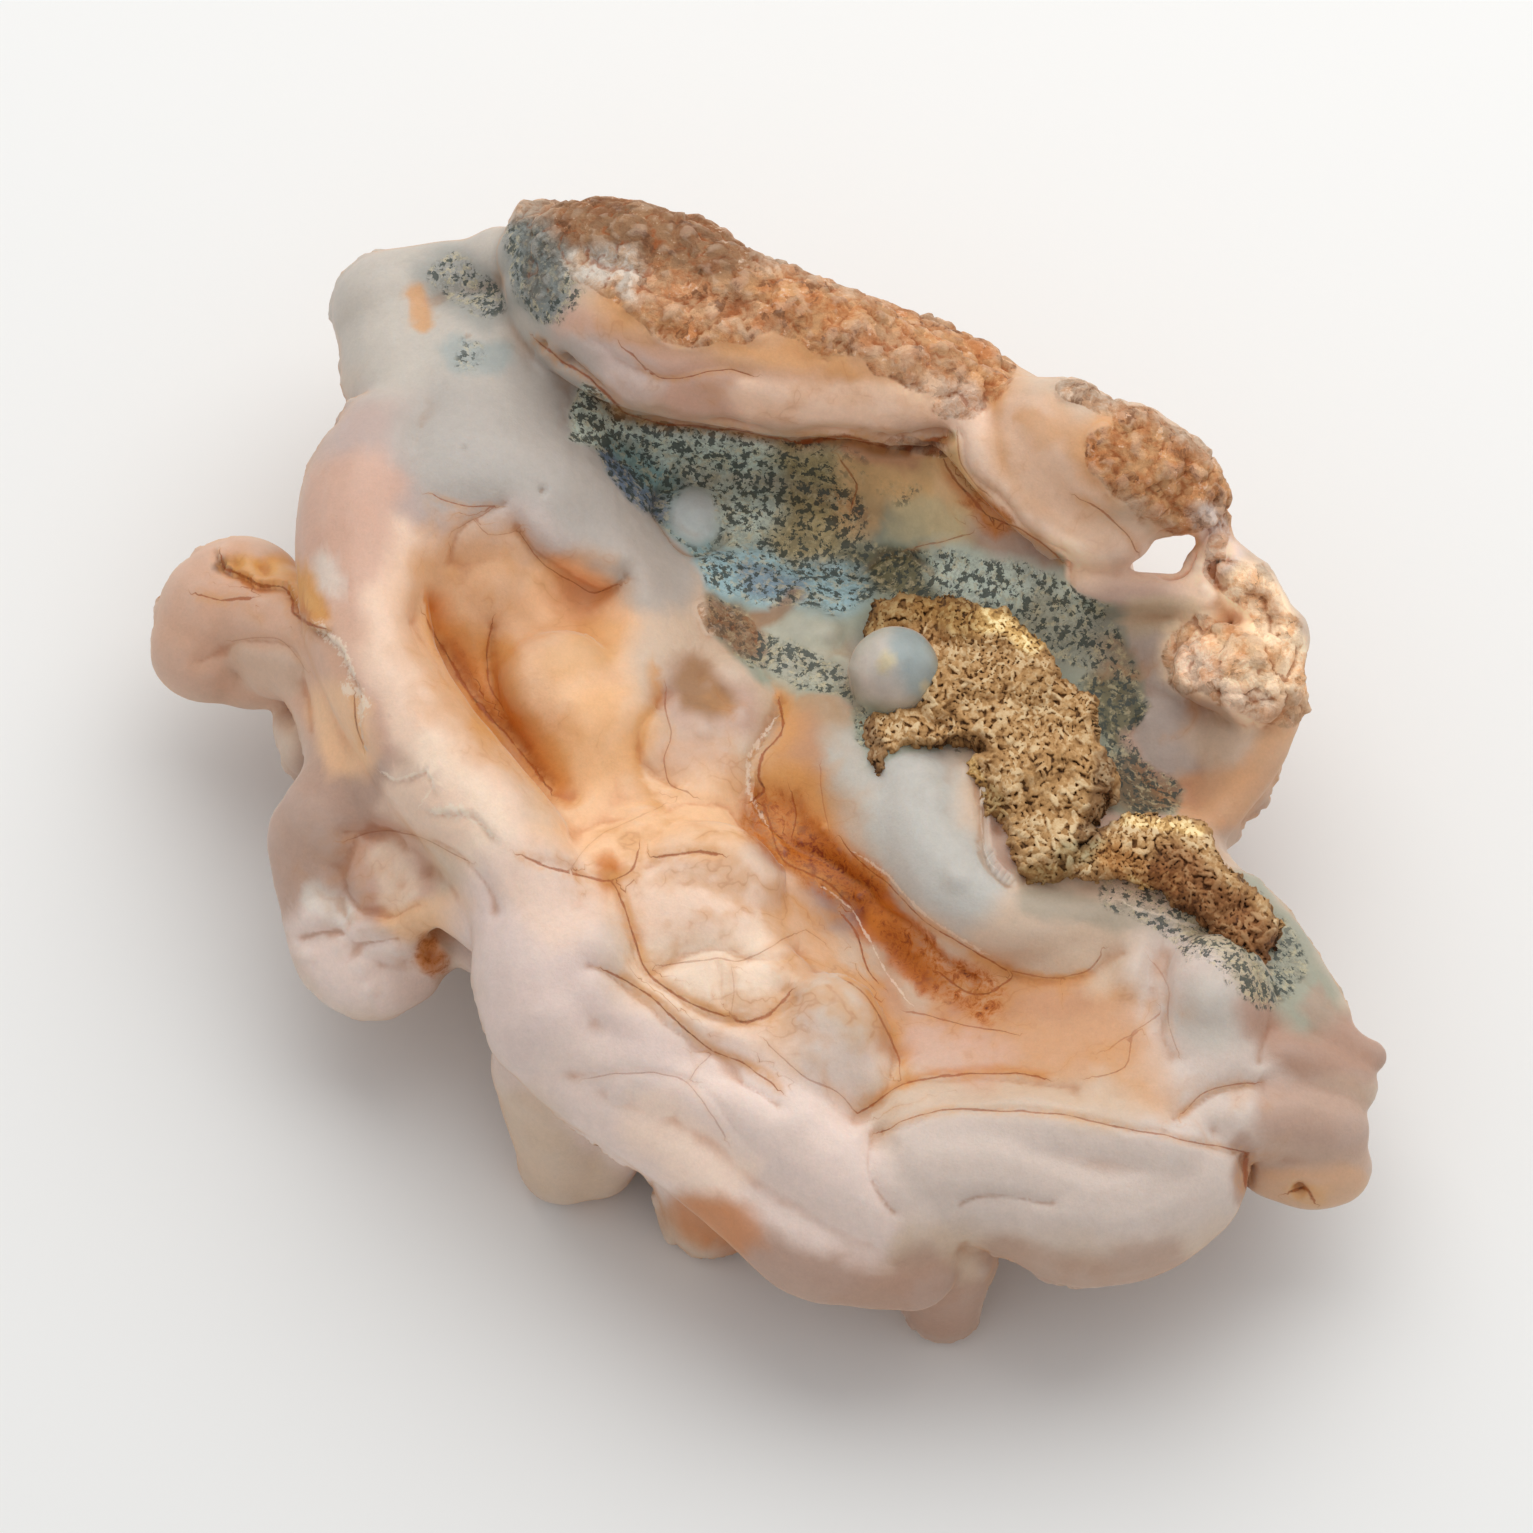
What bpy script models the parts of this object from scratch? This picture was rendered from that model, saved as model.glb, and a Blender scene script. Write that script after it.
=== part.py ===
"""A plate of botryoidal chalcedony, 123 mm across, with a crust of sandy host rock caught in its hollow.

The stone grew as one piece, as rounded lobes and rolls that swell out of each other, so it is one solid.
The sandy crust that sits in its hollow is the second solid.

The shape is laid out on a square drawing of the stone, which shows it from its front and from above. A place
is given by its distance across and down that drawing and by its height above the table, all in millimetres.
"""
import math

import bmesh
import bpy
import numpy as np
from mathutils import Matrix, Vector

MM = 0.001
SHEET_MIDDLE = 76.65  # half the side of the drawing
VIEW_TILT = math.radians(60)  # the drawing looks down on the table at this angle
FOOTPRINT_SHIFT = Vector((0.0, 12.5, 0.0))  # brings the middle of the footprint to the origin

LOBE_VOXEL = 0.7  # the grid on which the lobes are fused
CRUST_VOXEL = 0.7
STONE_FACES = 8300
CRUST_FACES = 1400
CRUST_CLEARANCE = 0.7  # between the crust and the stone that carries it, before both are thinned out
BEAD_STEP = 0.3  # spacing of the beads along a roll, as a share of their radius
GRID_STEP = 1.0  # of the sheet
SHEET_THICKNESS = 7

# The broad upper face from which the lobes swell, as places it passes through: (across, down, height).
SHEET = [
    # top left lobe and the plateau below it
    (37, 31, 27), (42, 29, 29), (47, 27.5, 30), (51, 27, 31), (36, 36, 28.5), (41, 35, 31), (46, 34, 31.5),
    (50, 33, 31), (53.5, 35, 30.5), (38.5, 40.5, 32), (43, 40, 34), (48, 39, 34), (53, 39, 32), (57, 41, 29.5),
    (36.5, 46, 34), (41, 46, 37), (46, 45, 37.5), (51, 45, 36.5), (56, 46, 34), (60, 47.5, 31), (63.5, 50, 28),
    (34.5, 52, 34), (39, 52, 37), (44, 51, 36.5), (49, 51, 35.5), (54, 52, 34.5), (59, 53, 32), (64, 55, 29.5),
    (68, 58, 27),
    # left rim and the stained basin inside it
    (37, 58, 35), (38, 66, 36), (41, 72, 36), (46, 78, 36), (51, 83, 36), (53, 88, 35), (42.5, 58, 34),
    (42.8, 63, 31), (45.5, 67, 28.5), (48.5, 71.5, 27.5), (52, 75.5, 27.5), (54.5, 78, 29.5), (47, 58, 31),
    (49, 62, 30.5), (48, 56, 32.5), (49.5, 66, 28), (53.5, 66, 30), (56, 69.5, 32), (56, 73, 30.5), (60, 67, 30),
    (58.5, 60.5, 23), (56, 59, 26.5), (61, 61.5, 26), (64, 60, 29.5), (64.5, 66, 30), (62.5, 73.5, 31),
    (66, 70, 28.5), (58, 77, 30.5), (62, 79, 29.5), (52, 54.5, 33), (57, 55.5, 32), (61, 56.5, 31),
    # milky pillows and the clear slab
    (69, 62, 27), (69.5, 67, 27.5), (69, 74.5, 29), (73, 70, 27.5), (74, 75.5, 28), (72, 79, 29),
    (78, 71.5, 24.5), (83, 70, 24), (86.5, 72, 23.5), (80, 77, 24.5), (84.5, 80, 24.5), (78.5, 83, 24), (83, 86, 23.5),
    # stained channel
    (77, 81, 24.5), (84, 91, 23), (90, 95.5, 22.5), (96.5, 99.5, 23.5),
    # centre pillows
    (60, 83.5, 32.5), (66, 82, 31), (71, 82.5, 30), (58, 88, 34), (64.5, 88, 33), (70, 89, 33.5), (75, 90, 31.5),
    (81, 93, 27), (79, 98, 30), (84, 98.5, 27.5), (88, 101, 26), (83, 103, 31.5), (88, 106, 29), (92, 104.5, 26.5),
    (64, 95, 32.5), (69.5, 96.5, 32), (76, 96, 31.5), (62, 98.5, 33), (68, 102, 31.5), (74.5, 101, 31),
    (79, 105.5, 31), (86, 109.5, 28), (74, 106.5, 29.5),
    # front rolls
    (56.5, 97, 33.5), (60, 101.5, 32.5), (54, 101, 31), (60, 105, 29.5), (66, 105, 30.5), (70, 109.5, 28),
    (76, 110, 28.5), (81, 114, 26.5), (86, 113.5, 27), (92, 111.5, 28), (100, 110, 28.5), (108, 111, 28.5),
    (116, 111, 28), (94, 115, 25), (102, 115, 25), (110, 115, 25), (96, 104.5, 26), (102, 101, 26), (107, 102, 27),
    (112, 103.5, 27.5), (103, 106, 28),
    # lower right dome and arms
    (115, 97.5, 28), (121, 101, 29.5), (121, 95.5, 28.5), (127, 98, 26.5), (127, 104, 26.5), (132, 104.5, 23.5),
    (118, 106.5, 28), (123.5, 110, 26.5), (129.5, 110, 24),
    # bed of the crust
    (90, 77, 27.5), (95, 80, 29.5), (95, 86, 29.5), (100, 84, 29.5), (101, 91, 29), (110, 92, 29), (92, 62.5, 23.5),
    (98, 66, 24.5), (95, 73, 25.5), (101, 76, 27), (105, 81, 28), (111, 85, 28), (118, 87, 27.5), (123, 91, 26),
    # dark cavity and the wall behind it
    (56, 35.5, 31), (62, 36, 31.5), (70, 37.5, 31.5), (80, 39.5, 31.5), (90, 41.5, 32), (98, 45, 32.5),
    (61, 41.5, 28), (63, 45, 25), (67, 49, 22.5), (71, 52.5, 21), (66, 43.5, 27), (73, 45, 26.5), (81, 46, 26.5),
    (88, 47, 27.5), (69, 47, 23), (75, 48.5, 22), (82, 50, 22), (76, 53, 20), (82, 54.5, 20.5), (88, 54, 22.5),
    (94, 49, 30), (99, 50.5, 31), (103, 53.5, 30.5), (95, 55, 26), (101, 58, 27), (106, 57, 29.5), (71, 55.5, 25),
    (76, 57.5, 24.5), (81, 59.5, 24), (86, 61, 23.5), (73.5, 61.5, 24.5), (79, 64.5, 25), (84.5, 65.5, 24),
    (76, 67.5, 25),
    # right bowl
    (110, 60.5, 28.5), (117, 60.5, 29), (123, 62, 29), (108, 65, 25), (113, 66, 24), (112, 73, 22),
    (117, 77, 20.5), (118.6, 81, 20), (119, 70, 23.5), (124, 75.5, 24.5), (127.4, 70, 26.5), (121.6, 80.4, 21.6), (120, 65, 27), (110, 78, 23.5),
]
SHEET_EDGE = [
    (40, 31), (46, 28.5), (52, 27), (60, 32), (70, 34), (80, 37), (90, 40), (98, 43.5), (104, 47.5), (110, 52),
    (110.5, 58), (122, 61), (126.8, 65), (128.8, 70), (127.2, 75.6), (124, 80), (121.4, 83.6), (125, 88), (128.6, 93),
    (131.4, 98.5), (135, 104.5), (134, 112), (125, 112.5), (116, 116), (108, 117), (98, 115.5), (91, 117), (84, 117), (77, 113), (69, 110.5),
    (60, 104.5), (54.5, 98), (54, 91), (49, 81), (43.5, 73.6), (38.6, 66.5), (37.4, 58), (38, 50), (39.5, 45), (41, 41),
    (40.5, 36),
]
MARGIN = (3, 3)  # how far in from its edge the sheet begins to sink, and how deep its edge lies

# Each roll is a chain of round beads: (across, down, height, radius).
ROLLS = {
    "top left lobe": [(39.5, 31.3, 23, 6.6), (43.5, 29.5, 24, 5.7), (47.5, 27.8, 26, 4.4), (50, 26, 28.5, 3.6)],
    "top left flank": [(40, 32, 22, 6.6), (40.5, 37.5, 24.5, 6.4), (41.5, 42, 27, 6.2), (39.5, 45.5, 29, 6.4)],
    "left rim": [
        (39.5, 45, 29, 6.4), (37.5, 50, 30.5, 7.6), (36.6, 58, 31, 6.9), (37.8, 66, 32, 6.3), (41.8, 73.4, 32.5, 6.2),
        (47.2, 80.3, 32.2, 6.4), (51.8, 86.4, 31, 6.6), (53.5, 92, 29.5, 6.4), (54, 97, 28.5, 6.8), (55, 102, 27.5, 6.4),
    ],
    "left knob": [(24, 60.6, 17, 7.1), (22, 62.6, 16.5, 7), (20.7, 64.8, 15.5, 5.7)],
    "left knob toe": [(21.5, 65, 14.5, 4.6), (25, 66.3, 14.5, 4.8), (28, 66, 16, 4.6)],
    "left knob arm": [(25, 61.5, 18, 6), (30, 63.5, 22, 6), (35, 65.5, 27, 5.6)],
    "left knob fold": [(27.5, 66.5, 19, 3.4), (31, 67.5, 22, 3.8), (33.4, 71.5, 24, 3.8), (34.5, 75.5, 25, 4)],
    "small hidden lobe": [(29.8, 72.5, 13, 2.6), (31, 75, 18, 3)],
    "neck": [(36, 68, 27, 5.4), (35.8, 75.5, 25.5, 4.6), (33.6, 82, 22.5, 5.6)],
    "web": [(39, 72, 28, 5), (40, 77.5, 27, 5.4), (44, 81, 28, 4.6), (48, 85, 29, 4.4)],
    "web edge": [(34.5, 80.6, 24, 3.4), (39.5, 79.8, 26, 3.4), (44.5, 81.9, 27.5, 3.4), (48.4, 86, 28.5, 3.6)],
    "lower knob": [(32.5, 84, 20, 5.8), (32.6, 88, 18, 5.2), (33.5, 92, 16.5, 4.6)],
    "lower knob lobes": [(31.6, 91.5, 16.5, 3.4), (33.4, 96, 15, 3.8), (37.2, 98.2, 14.5, 4.1), (40.6, 96.6, 14, 4)],
    "lower knob toe": [(37, 93.5, 16, 4.2), (41, 95, 14.5, 4), (43.6, 94.4, 15.5, 3.3)],
    "lower knob arm": [
        (36.5, 92.6, 19.5, 2.6), (39.4, 93.6, 20, 2.6), (41.4, 91.4, 22.5, 2.5), (44.6, 90, 25.5, 2.8), (49, 92, 27, 3.6),
    ],
    "front dome": [(55, 100, 27.5, 6.6), (56.5, 103, 26.5, 5.6), (59.5, 104.5, 26.5, 5), (63, 106, 26.5, 4.6), (67, 108, 26, 4.2)],
    "front roll": [
        (55.5, 105.5, 24.5, 4.2), (58, 107.7, 24, 4.3), (63, 111, 22.5, 4.5), (69.5, 115.2, 21, 4.7), (75.5, 119.8, 19.5, 5),
        (81, 124, 18, 5.4), (86, 125.5, 17, 5), (91, 126, 16.5, 4.8),
    ],
    "second roll": [(70.5, 110, 25.2, 4), (75, 111.5, 25, 5), (80, 114.6, 24.3, 5.6), (86, 118.2, 22.5, 6), (91, 121, 20.5, 5.6)],
    "right pillow": [
        (92.5, 117, 22, 6.6), (98, 117, 22, 7.2), (103, 118.5, 21, 7.5), (108.5, 120.6, 20, 7.7), (114, 119.8, 20, 7.3),
        (118, 117.8, 20.5, 6.3),
    ],
    "right pillow shoulder": [(91, 114, 24.5, 4), (99, 113, 25, 4.6), (107, 113.5, 25, 5), (116, 115, 24, 5)],
    "white roll": [
        (91.2, 79.8, 24.8, 4.6), (92.3, 84.8, 25.6, 5.2), (95.4, 89.4, 26, 5.5), (100.5, 92.2, 26, 5), (106, 92.8, 25.8, 4.4),
        (111, 92, 25.4, 4),
    ],
    "right edge": [(118.5, 88.5, 22, 3.4), (123.5, 90.5, 22, 3.4), (127, 93.8, 21.5, 3.2), (129.8, 98, 21, 3), (132, 102, 20.5, 3)],
    "upper arm": [(126, 99.5, 23, 3.4), (130.5, 102.6, 21.5, 3.2), (134.8, 105.2, 20.5, 2.6), (136.6, 105.4, 19.5, 2)],
    "middle arm": [(126, 105.5, 23.5, 3.6), (131, 107, 21.5, 3.4), (134.6, 108.4, 20, 3)],
    "lower arm": [(123, 112, 23, 4), (128, 111.8, 21, 4), (132.6, 112.8, 19, 4)],
    "lower arm foot": [(127, 116, 16.5, 3.6), (130.5, 116.8, 16, 3.9), (132.9, 116.4, 16, 3.9)],
    "ridge top": [
        (54, 25.5, 33, 4.4), (57, 26.6, 34.5, 6.2), (62, 27.4, 36, 7), (67, 28.8, 37, 7.2), (72, 31.4, 38, 6.8),
        (78, 34.2, 38, 7.2), (84, 36.2, 38, 7.2), (90, 38.3, 37.5, 5.9), (95.5, 39.4, 37, 3.9), (98.6, 39.4, 36.5, 2),
    ],
    "ridge middle": [
        (55, 28.5, 33.5, 4.6), (60, 31.5, 36, 6), (66, 33.4, 37.5, 6.6), (73, 35.4, 38, 6.8), (80, 37, 38, 6.6),
        (87, 38.6, 37.5, 5.6),
    ],
    "ridge hump": [(66, 24.6, 37.5, 3.4), (70, 26, 38.5, 3.8), (72.6, 28.6, 39, 3)],
    "ridge horn": [(52.6, 22.4, 33, 1.7), (54, 22, 33.5, 2.2), (57, 23.5, 33.5, 3)],
    "ridge edge": [(52.8, 26, 31, 2.6), (53.3, 30, 31.5, 2.8), (56.5, 33.6, 33, 3.4)],
    "ridge lip": [
        (56.6, 33.4, 33, 3.6), (60.5, 35.8, 34.5, 4.2), (65, 37.1, 36, 4.5), (70.5, 38, 36.5, 4.6), (76, 38.7, 36.5, 4.8),
        (81, 39.2, 36.5, 4.6), (86, 39.2, 36.3, 4.6), (90.5, 40.3, 36, 4.4), (94.5, 40, 36, 4),
    ],
    "trailing roll": [
        (94.5, 40.4, 36.2, 3.4), (97.6, 44.5, 36, 3.1), (101.3, 49.2, 35, 3), (105.8, 52.4, 34, 3.2), (110, 54, 33, 3.2),
        (112.4, 53.6, 31.5, 2.8),
    ],
    "tongue": [(99, 40.8, 35.5, 3), (102.5, 44, 35.5, 5), (106, 48, 35, 5.4), (110.5, 51, 34, 4.4)],
    "far lump": [(102.4, 41.8, 37, 4), (105, 43, 37.5, 5.4), (109.5, 46, 37.5, 6.2), (114.5, 47.4, 36.5, 6.2), (118.4, 49.2, 36, 4.2)],
    "far lump lip": [(111, 50.6, 35, 3.8), (116, 50.6, 34.5, 3.4), (119.8, 51.2, 34, 2.2)],
    "bead chain": [(120.6, 51.6, 33, 1.9), (121.3, 53.5, 32, 1.8), (122.6, 55.6, 31, 2), (124.5, 58, 30, 2.6), (126.3, 61, 29, 2.6)],
    "curl": [
        (122.2, 55.2, 31, 1.4), (120.6, 55.2, 30.7, 1.3), (119.4, 56.8, 30, 1.3), (119.8, 58.8, 29.5, 1.4), (121.5, 59.8, 29.5, 1.8),
    ],
    "ledge": [(107.6, 55.6, 29.8, 2.2), (108, 57.6, 29, 2.4), (111, 59.2, 28.6, 2.2), (116, 59.4, 28.6, 2.2), (121, 60.4, 28.6, 2.4)],
    "far right rim": [(124.6, 59.6, 28.6, 2.7), (126.6, 62.6, 27.8, 2.6), (127.6, 66, 27, 2.6), (128.4, 69, 26, 2.4)],
    "far right lump": [(120.6, 67, 27, 3.2), (124, 68.6, 27, 3.6), (127.2, 69.4, 26, 3.2)],
    "far right edge": [(128.6, 70.5, 24.5, 1.9), (126.6, 75.6, 22.5, 1.9), (123.6, 79.6, 20.5, 1.9), (121.4, 82.4, 19.5, 1.9)],
    "back wall": [(60, 35.5, 20, 7), (70, 37.8, 19, 7), (79, 39.4, 19, 7.5), (88, 41, 19, 7.5), (97, 44, 20, 7.5), (105, 48, 21, 6.5)],
    "back wall top": [(60, 30, 28, 6.5), (66, 32.6, 29, 6.5), (76, 35, 29, 7), (86, 37, 29, 7), (96, 40.4, 29, 6.5), (104, 45, 29, 6)],
}

# Single lobes: (across, down, height, half width, half length down the drawing, half depth, turn in degrees).
LOBES = {
    "basin dome": (56, 69.5, 27, 6.6, 6.4, 5.2, 0),
    "basin lower dome": (62, 74, 26.5, 5.4, 5.4, 5, 20),
    "basin bulge": (48.6, 59.8, 27.2, 5.4, 6.4, 4.6, -20),
    "front dome": (58.5, 98.5, 28.6, 7.6, 8.4, 6.2, 40),
    "second roll": (79, 113.4, 24.2, 9.6, 5.8, 6.2, -38),
    "pocket floor": (39.5, 88, 17.5, 5.4, 4.4, 4, 0),
    "pillow 1": (70.5, 89, 28.5, 8, 7, 5.2, 0),
    "pillow 2": (64.5, 84, 28, 5.4, 4, 4, 0),
    "pillow 3": (76.5, 97.5, 28, 5, 4, 4, -20),
    "pillow 4": (83, 104, 27, 6, 7, 5.2, 25),
    "pillow 5": (68.5, 97.3, 28, 3.6, 3, 4, 20),
    "milky pillow 1": (69.5, 75, 24.8, 4.6, 4.8, 4, 0),
    "milky pillow 2": (72.4, 69.5, 23.5, 4.6, 4, 4, 0),
    "right dome": (121, 101.2, 26, 6.6, 8, 5.8, 0),
    "pale ribs": (113.5, 99.5, 24.6, 3, 6, 4, 10),
    "ball": (89.3, 67.2, 28, 4.7, 4.7, 4.7, 0),
    "ball stalk": (89.3, 69, 23, 4.4, 4.4, 4, 0),
    "round eye": (69.6, 52, 21.5, 3.5, 3.4, 3.4, 0),
    "blue pillow": (80.3, 64.8, 21.5, 5, 4.4, 4, 0),
}

# The body that carries the lobes, as flat ellipsoids: (x, y, z, half width, half depth, half height).
BODY = [
    (-20, -6, 17, 24, 30, 7),
    (10, -14, 14, 34, 30, 7),
    (-2, 16, 15, 34, 16, 8),
    (5, -38, 17, 30, 16, 6),
    (30, -31, 15, 20, 19, 7),
    (-34, 10, 22, 9, 18, 7),
    (22, 12, 14, 15, 16, 7),
    (41, -6, 17, 8.5, 9, 6),
]

# The round lobes under the body: (x, y, height, radius).
UNDER = [
    (-30, -14, 17, 9), (-22, -26, 15, 8.5), (-20, -38, 14, 6), (-10, -18, 14, 10.5), (-15, -2, 15, 10),
    (-27, 4, 18, 9), (-10, -38, 13, 8), (2, -28, 13, 9.5), (4, -10, 14, 11), (-2, 8, 14, 10), (14, -38, 13, 8.5),
    (16, -20, 13, 9), (20, -4, 14, 10.5), (28, -14, 15, 8), (30, -30, 14, 9), (26, -44, 14, 7.5), (40, -36, 15, 7),
    (39, -22, 16, 7.5), (14, 10, 14, 9), (-14, 14, 16, 9), (-30, 20, 18, 8), (10, -52, 14, 7), (34, 0, 16, 7),
    (0, -46, 15, 7.5), (16, 24, 15, 8), (-6, 22, 13, 8), (-35, -2, 19, 6), (-34, 32, 20, 5.5), (-20, 34, 22, 7),
]

# The lobes under the stone, which it stands on: (x, y, height, radius).
FEET = {
    "front left foot": [(-19.8, -44, 17, 7.6), (-19.8, -46.4, 9, 6.2), (-20, -47.4, 4.4, 5)],
    "front left toe": [(-15.4, -45.5, 18, 5), (-16.2, -47, 9, 5), (-17, -47.8, 4.4, 4.2)],
    "front foot": [(-6, -48, 17, 7.6), (-5.9, -52.2, 9, 5.8), (-5.6, -53.6, 4.4, 4.8)],
    "front right foot": [(17, -58, 19, 6.6), (17.8, -62.8, 12, 5.2), (17.6, -63.6, 3.6, 4.1)],
    "back left foot": [(-22, 18, 17, 10), (-23, 22, 9, 7.6), (-24, 24, 4.5, 6)],
    "back right foot": [(23, 8, 16, 9), (26, 10, 9, 7.4), (27, 12, 4.6, 6)],
    "ridge root": [(-8, 28, 10, 9), (-6, 31, 24, 8), (14, 28, 22, 9), (14, 24, 10, 9)],
}

# Creases between the lobes, which round off on both sides: (reach, depth, the line on the drawing).
CREASES = [
    # rim fold and the folds of the stained basin
    (4.0, 2.4, [(42.4, 62), (44.6, 65.8), (47.2, 69.3), (50.4, 73.2), (54.5, 77.8), (57, 79)]),
    (3.0, 2.0, [(49, 63), (49, 69), (50.5, 72.5), (53, 75)]),
    (1.6, 0.9, [(45.5, 56), (46, 53.5), (50, 51)]),
    (2.6, 2.2, [(51.5, 53), (54.5, 56.5), (59, 59.2), (62.5, 58)]),
    (3.0, 1.6, [(66.5, 70), (65, 72), (64.3, 74.5), (65.5, 77), (67.5, 78.5)]),
    # centre pillows
    (1.4, 0.7, [(54, 86), (58, 87), (61.3, 87.4), (65, 86.5), (68, 85), (72, 85)]),
    (4.0, 1.7, [(61.5, 87.8), (63, 91), (64, 95), (65.3, 96.8)]),
    (3.6, 1.7, [(58, 83), (62, 81.5), (67, 80.5), (72, 80.5), (75.5, 82.5)]),
    (4.0, 1.7, [(65.3, 96.8), (70, 94.8), (75, 95.5), (80, 95)]),
    (3.0, 1.6, [(65, 97.2), (69, 100.3), (72, 101.4), (75.5, 101.4), (79, 99)]),
    (3.0, 1.2, [(71, 95), (72, 97.5), (72.4, 100)]),
    (4.0, 2.0, [(90, 105), (88.5, 108), (86, 111)]),
    (4.0, 2.0, [(59.5, 96.5), (62, 97.5), (65, 100.5), (69, 104.5), (71.3, 105.2), (74, 107.5), (77.5, 109.5)]),
    # front rolls
    (2.6, 1.0, [(57.5, 107.5), (63, 106.8), (69, 107.6), (72, 111), (76, 115.5)]),
    (4.0, 1.8, [(86, 111), (90, 108), (95, 107.3), (100.5, 107), (107, 108)]),
    (0.8, 0.6, [(88, 113), (95, 110.5), (105, 111), (115, 113), (124, 114.8)]),
    (1.6, 1.0, [(96, 120), (100, 118.8), (104.5, 119.7)]),
    (3.0, 1.6, [(87, 113), (86.8, 117), (89, 121)]),
    # white roll and lower right dome
    (2.5, 1.4, [(88, 80), (89.5, 87), (94, 94), (100, 97)]),
    (3.0, 1.6, [(100, 97), (107.5, 97.5), (111.5, 94.5)]),
    (3.5, 1.8, [(117, 111), (122, 108.5), (126, 107.8)]),
    (3.5, 1.4, [(116, 95), (115.5, 100), (117, 105)]),
    (3.5, 1.4, [(126, 96), (127, 101), (125.5, 106)]),
    (1.2, 1.6, [(124, 115), (124, 118)]),
    # edge of the clear slab
    (1.8, 1.2, [(78, 70.5), (75.8, 76), (76, 80), (78, 85), (86.5, 90.5), (90, 97)]),
    # left knobs
    (2.4, 1.4, [(35, 83.5), (40, 83), (45, 85), (49, 89), (49.7, 90.5)]),
    (2.4, 1.2, [(20, 66), (24, 64), (28, 64.5), (30, 67), (31, 73)]),
    # ridge
    (1.6, 0.6, [(59, 34.5), (63, 37), (67, 38), (71, 37), (75, 37.6)]),
]

# The sandy crust: (across, down, height, half width, half length, half depth, turn in degrees).
CRUST = [
    (92, 62.5, 25.5, 6.5, 3.6, 3, 0),
    (99.5, 63, 27, 6, 4, 3.2, -10),
    (104, 67, 27.5, 5.6, 5, 3.4, 0),
    (97, 68.5, 27, 6, 5, 3.4, 0),
    (91, 73.5, 26.5, 5, 3, 3, -10),
    (100, 73.5, 27.5, 6, 4.5, 3.4, -20),
    (107, 72.5, 27.5, 4.6, 5, 3.4, 0),
    (104.5, 78.5, 29, 6, 5.5, 4, 0),
    (110, 77, 27.5, 3.6, 4, 3, 0),
    (104.3, 84, 30, 4.2, 4, 3.6, 0),
    (109.5, 85.5, 30, 4, 2.6, 3, 0),
    (114.5, 85, 29.5, 5.2, 3.8, 3.6, 0),
    (119.5, 87.5, 29, 5, 4.2, 3.6, -40),
    (123.5, 92, 27.5, 4.2, 4.2, 3.4, -50),
    (126, 95, 25.5, 2.4, 2.6, 2.4, 0),
]


def at(across, down, height):
    """The point of the drawing at this height above the table."""
    up = SHEET_MIDDLE - down
    y = (up - height * math.cos(VIEW_TILT)) / math.sin(VIEW_TILT)
    return Vector((across - SHEET_MIDDLE, y, height))


def spline(beads, t):
    """A smooth chain through the beads, at t from 0 to the number of beads less one."""
    k = min(int(t), len(beads) - 2)
    f = t - k
    before, a, b, after = (beads[min(max(k + i, 0), len(beads) - 1)] for i in (-1, 0, 1, 2))
    return [
        0.5 * (2 * q + (r - p) * f + (2 * p - 5 * q + 4 * r - s) * f * f + (3 * q - p - 3 * r + s) * f ** 3)
        for p, q, r, s in zip(before, a, b, after)
    ]


def unit_ball():
    """A sphere of radius 1, from which every lobe is stretched."""
    bm = bmesh.new()
    bmesh.ops.create_icosphere(bm, subdivisions=3, radius=1)
    mesh = bpy.data.meshes.new("ball")
    bm.to_mesh(mesh)
    bm.free()
    return mesh


def add_ball(bm, middle, radii, turn=Matrix.Identity(4)):
    """One round lobe, as a sphere stretched to its three radii."""
    ball = BALL.copy()
    ball.transform(Matrix.Translation(middle) @ turn @ Matrix.Diagonal(Vector((*radii, 1))))
    bm.from_mesh(ball)
    bpy.data.meshes.remove(ball)


def add_roll(bm, beads, place):
    """Beads close together along the smooth chain."""
    for k in range(len(beads) - 1):
        a, b = beads[k], beads[k + 1]
        length = (place(*b[:3]) - place(*a[:3])).length
        count = max(1, math.ceil(length / (BEAD_STEP * min(a[3], b[3]))))
        for i in range(count + (k == len(beads) - 2)):
            *where, radius = spline(beads, k + i / count)
            add_ball(bm, place(*where), [radius] * 3)


def add_lobe(bm, across, down, height, half_width, half_length, half_depth, turn):
    """A lobe that is stretched in the plane of the drawing, and turned in it."""
    facing = Matrix.Rotation(math.pi / 2 - VIEW_TILT, 4, "X") @ Matrix.Rotation(math.radians(turn), 4, "Z")
    add_ball(bm, at(across, down, height), (half_width, half_length, half_depth), facing)


def sheet_heights(places):
    """Heights of the smooth sheet that passes through the SHEET points (a thin plate spline)."""
    knots = np.array(SHEET, float)

    def bend(a, b):
        squared = ((a[:, None, :] - b[None, :, :]) ** 2).sum(-1)
        return 0.5 * squared * np.log(squared + 1e-9)

    n = len(knots)
    flat = np.hstack([np.ones((n, 1)), knots[:, :2]])
    matrix = np.block([[bend(knots[:, :2], knots[:, :2]) + 1.5 * np.eye(n), flat], [flat.T, np.zeros((3, 3))]])
    weights = np.linalg.solve(matrix, np.concatenate([knots[:, 2], np.zeros(3)]))
    places = np.array(places, float)
    return bend(places, knots[:, :2]) @ weights[:n] + np.hstack([np.ones((len(places), 1)), places]) @ weights[n:]


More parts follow.
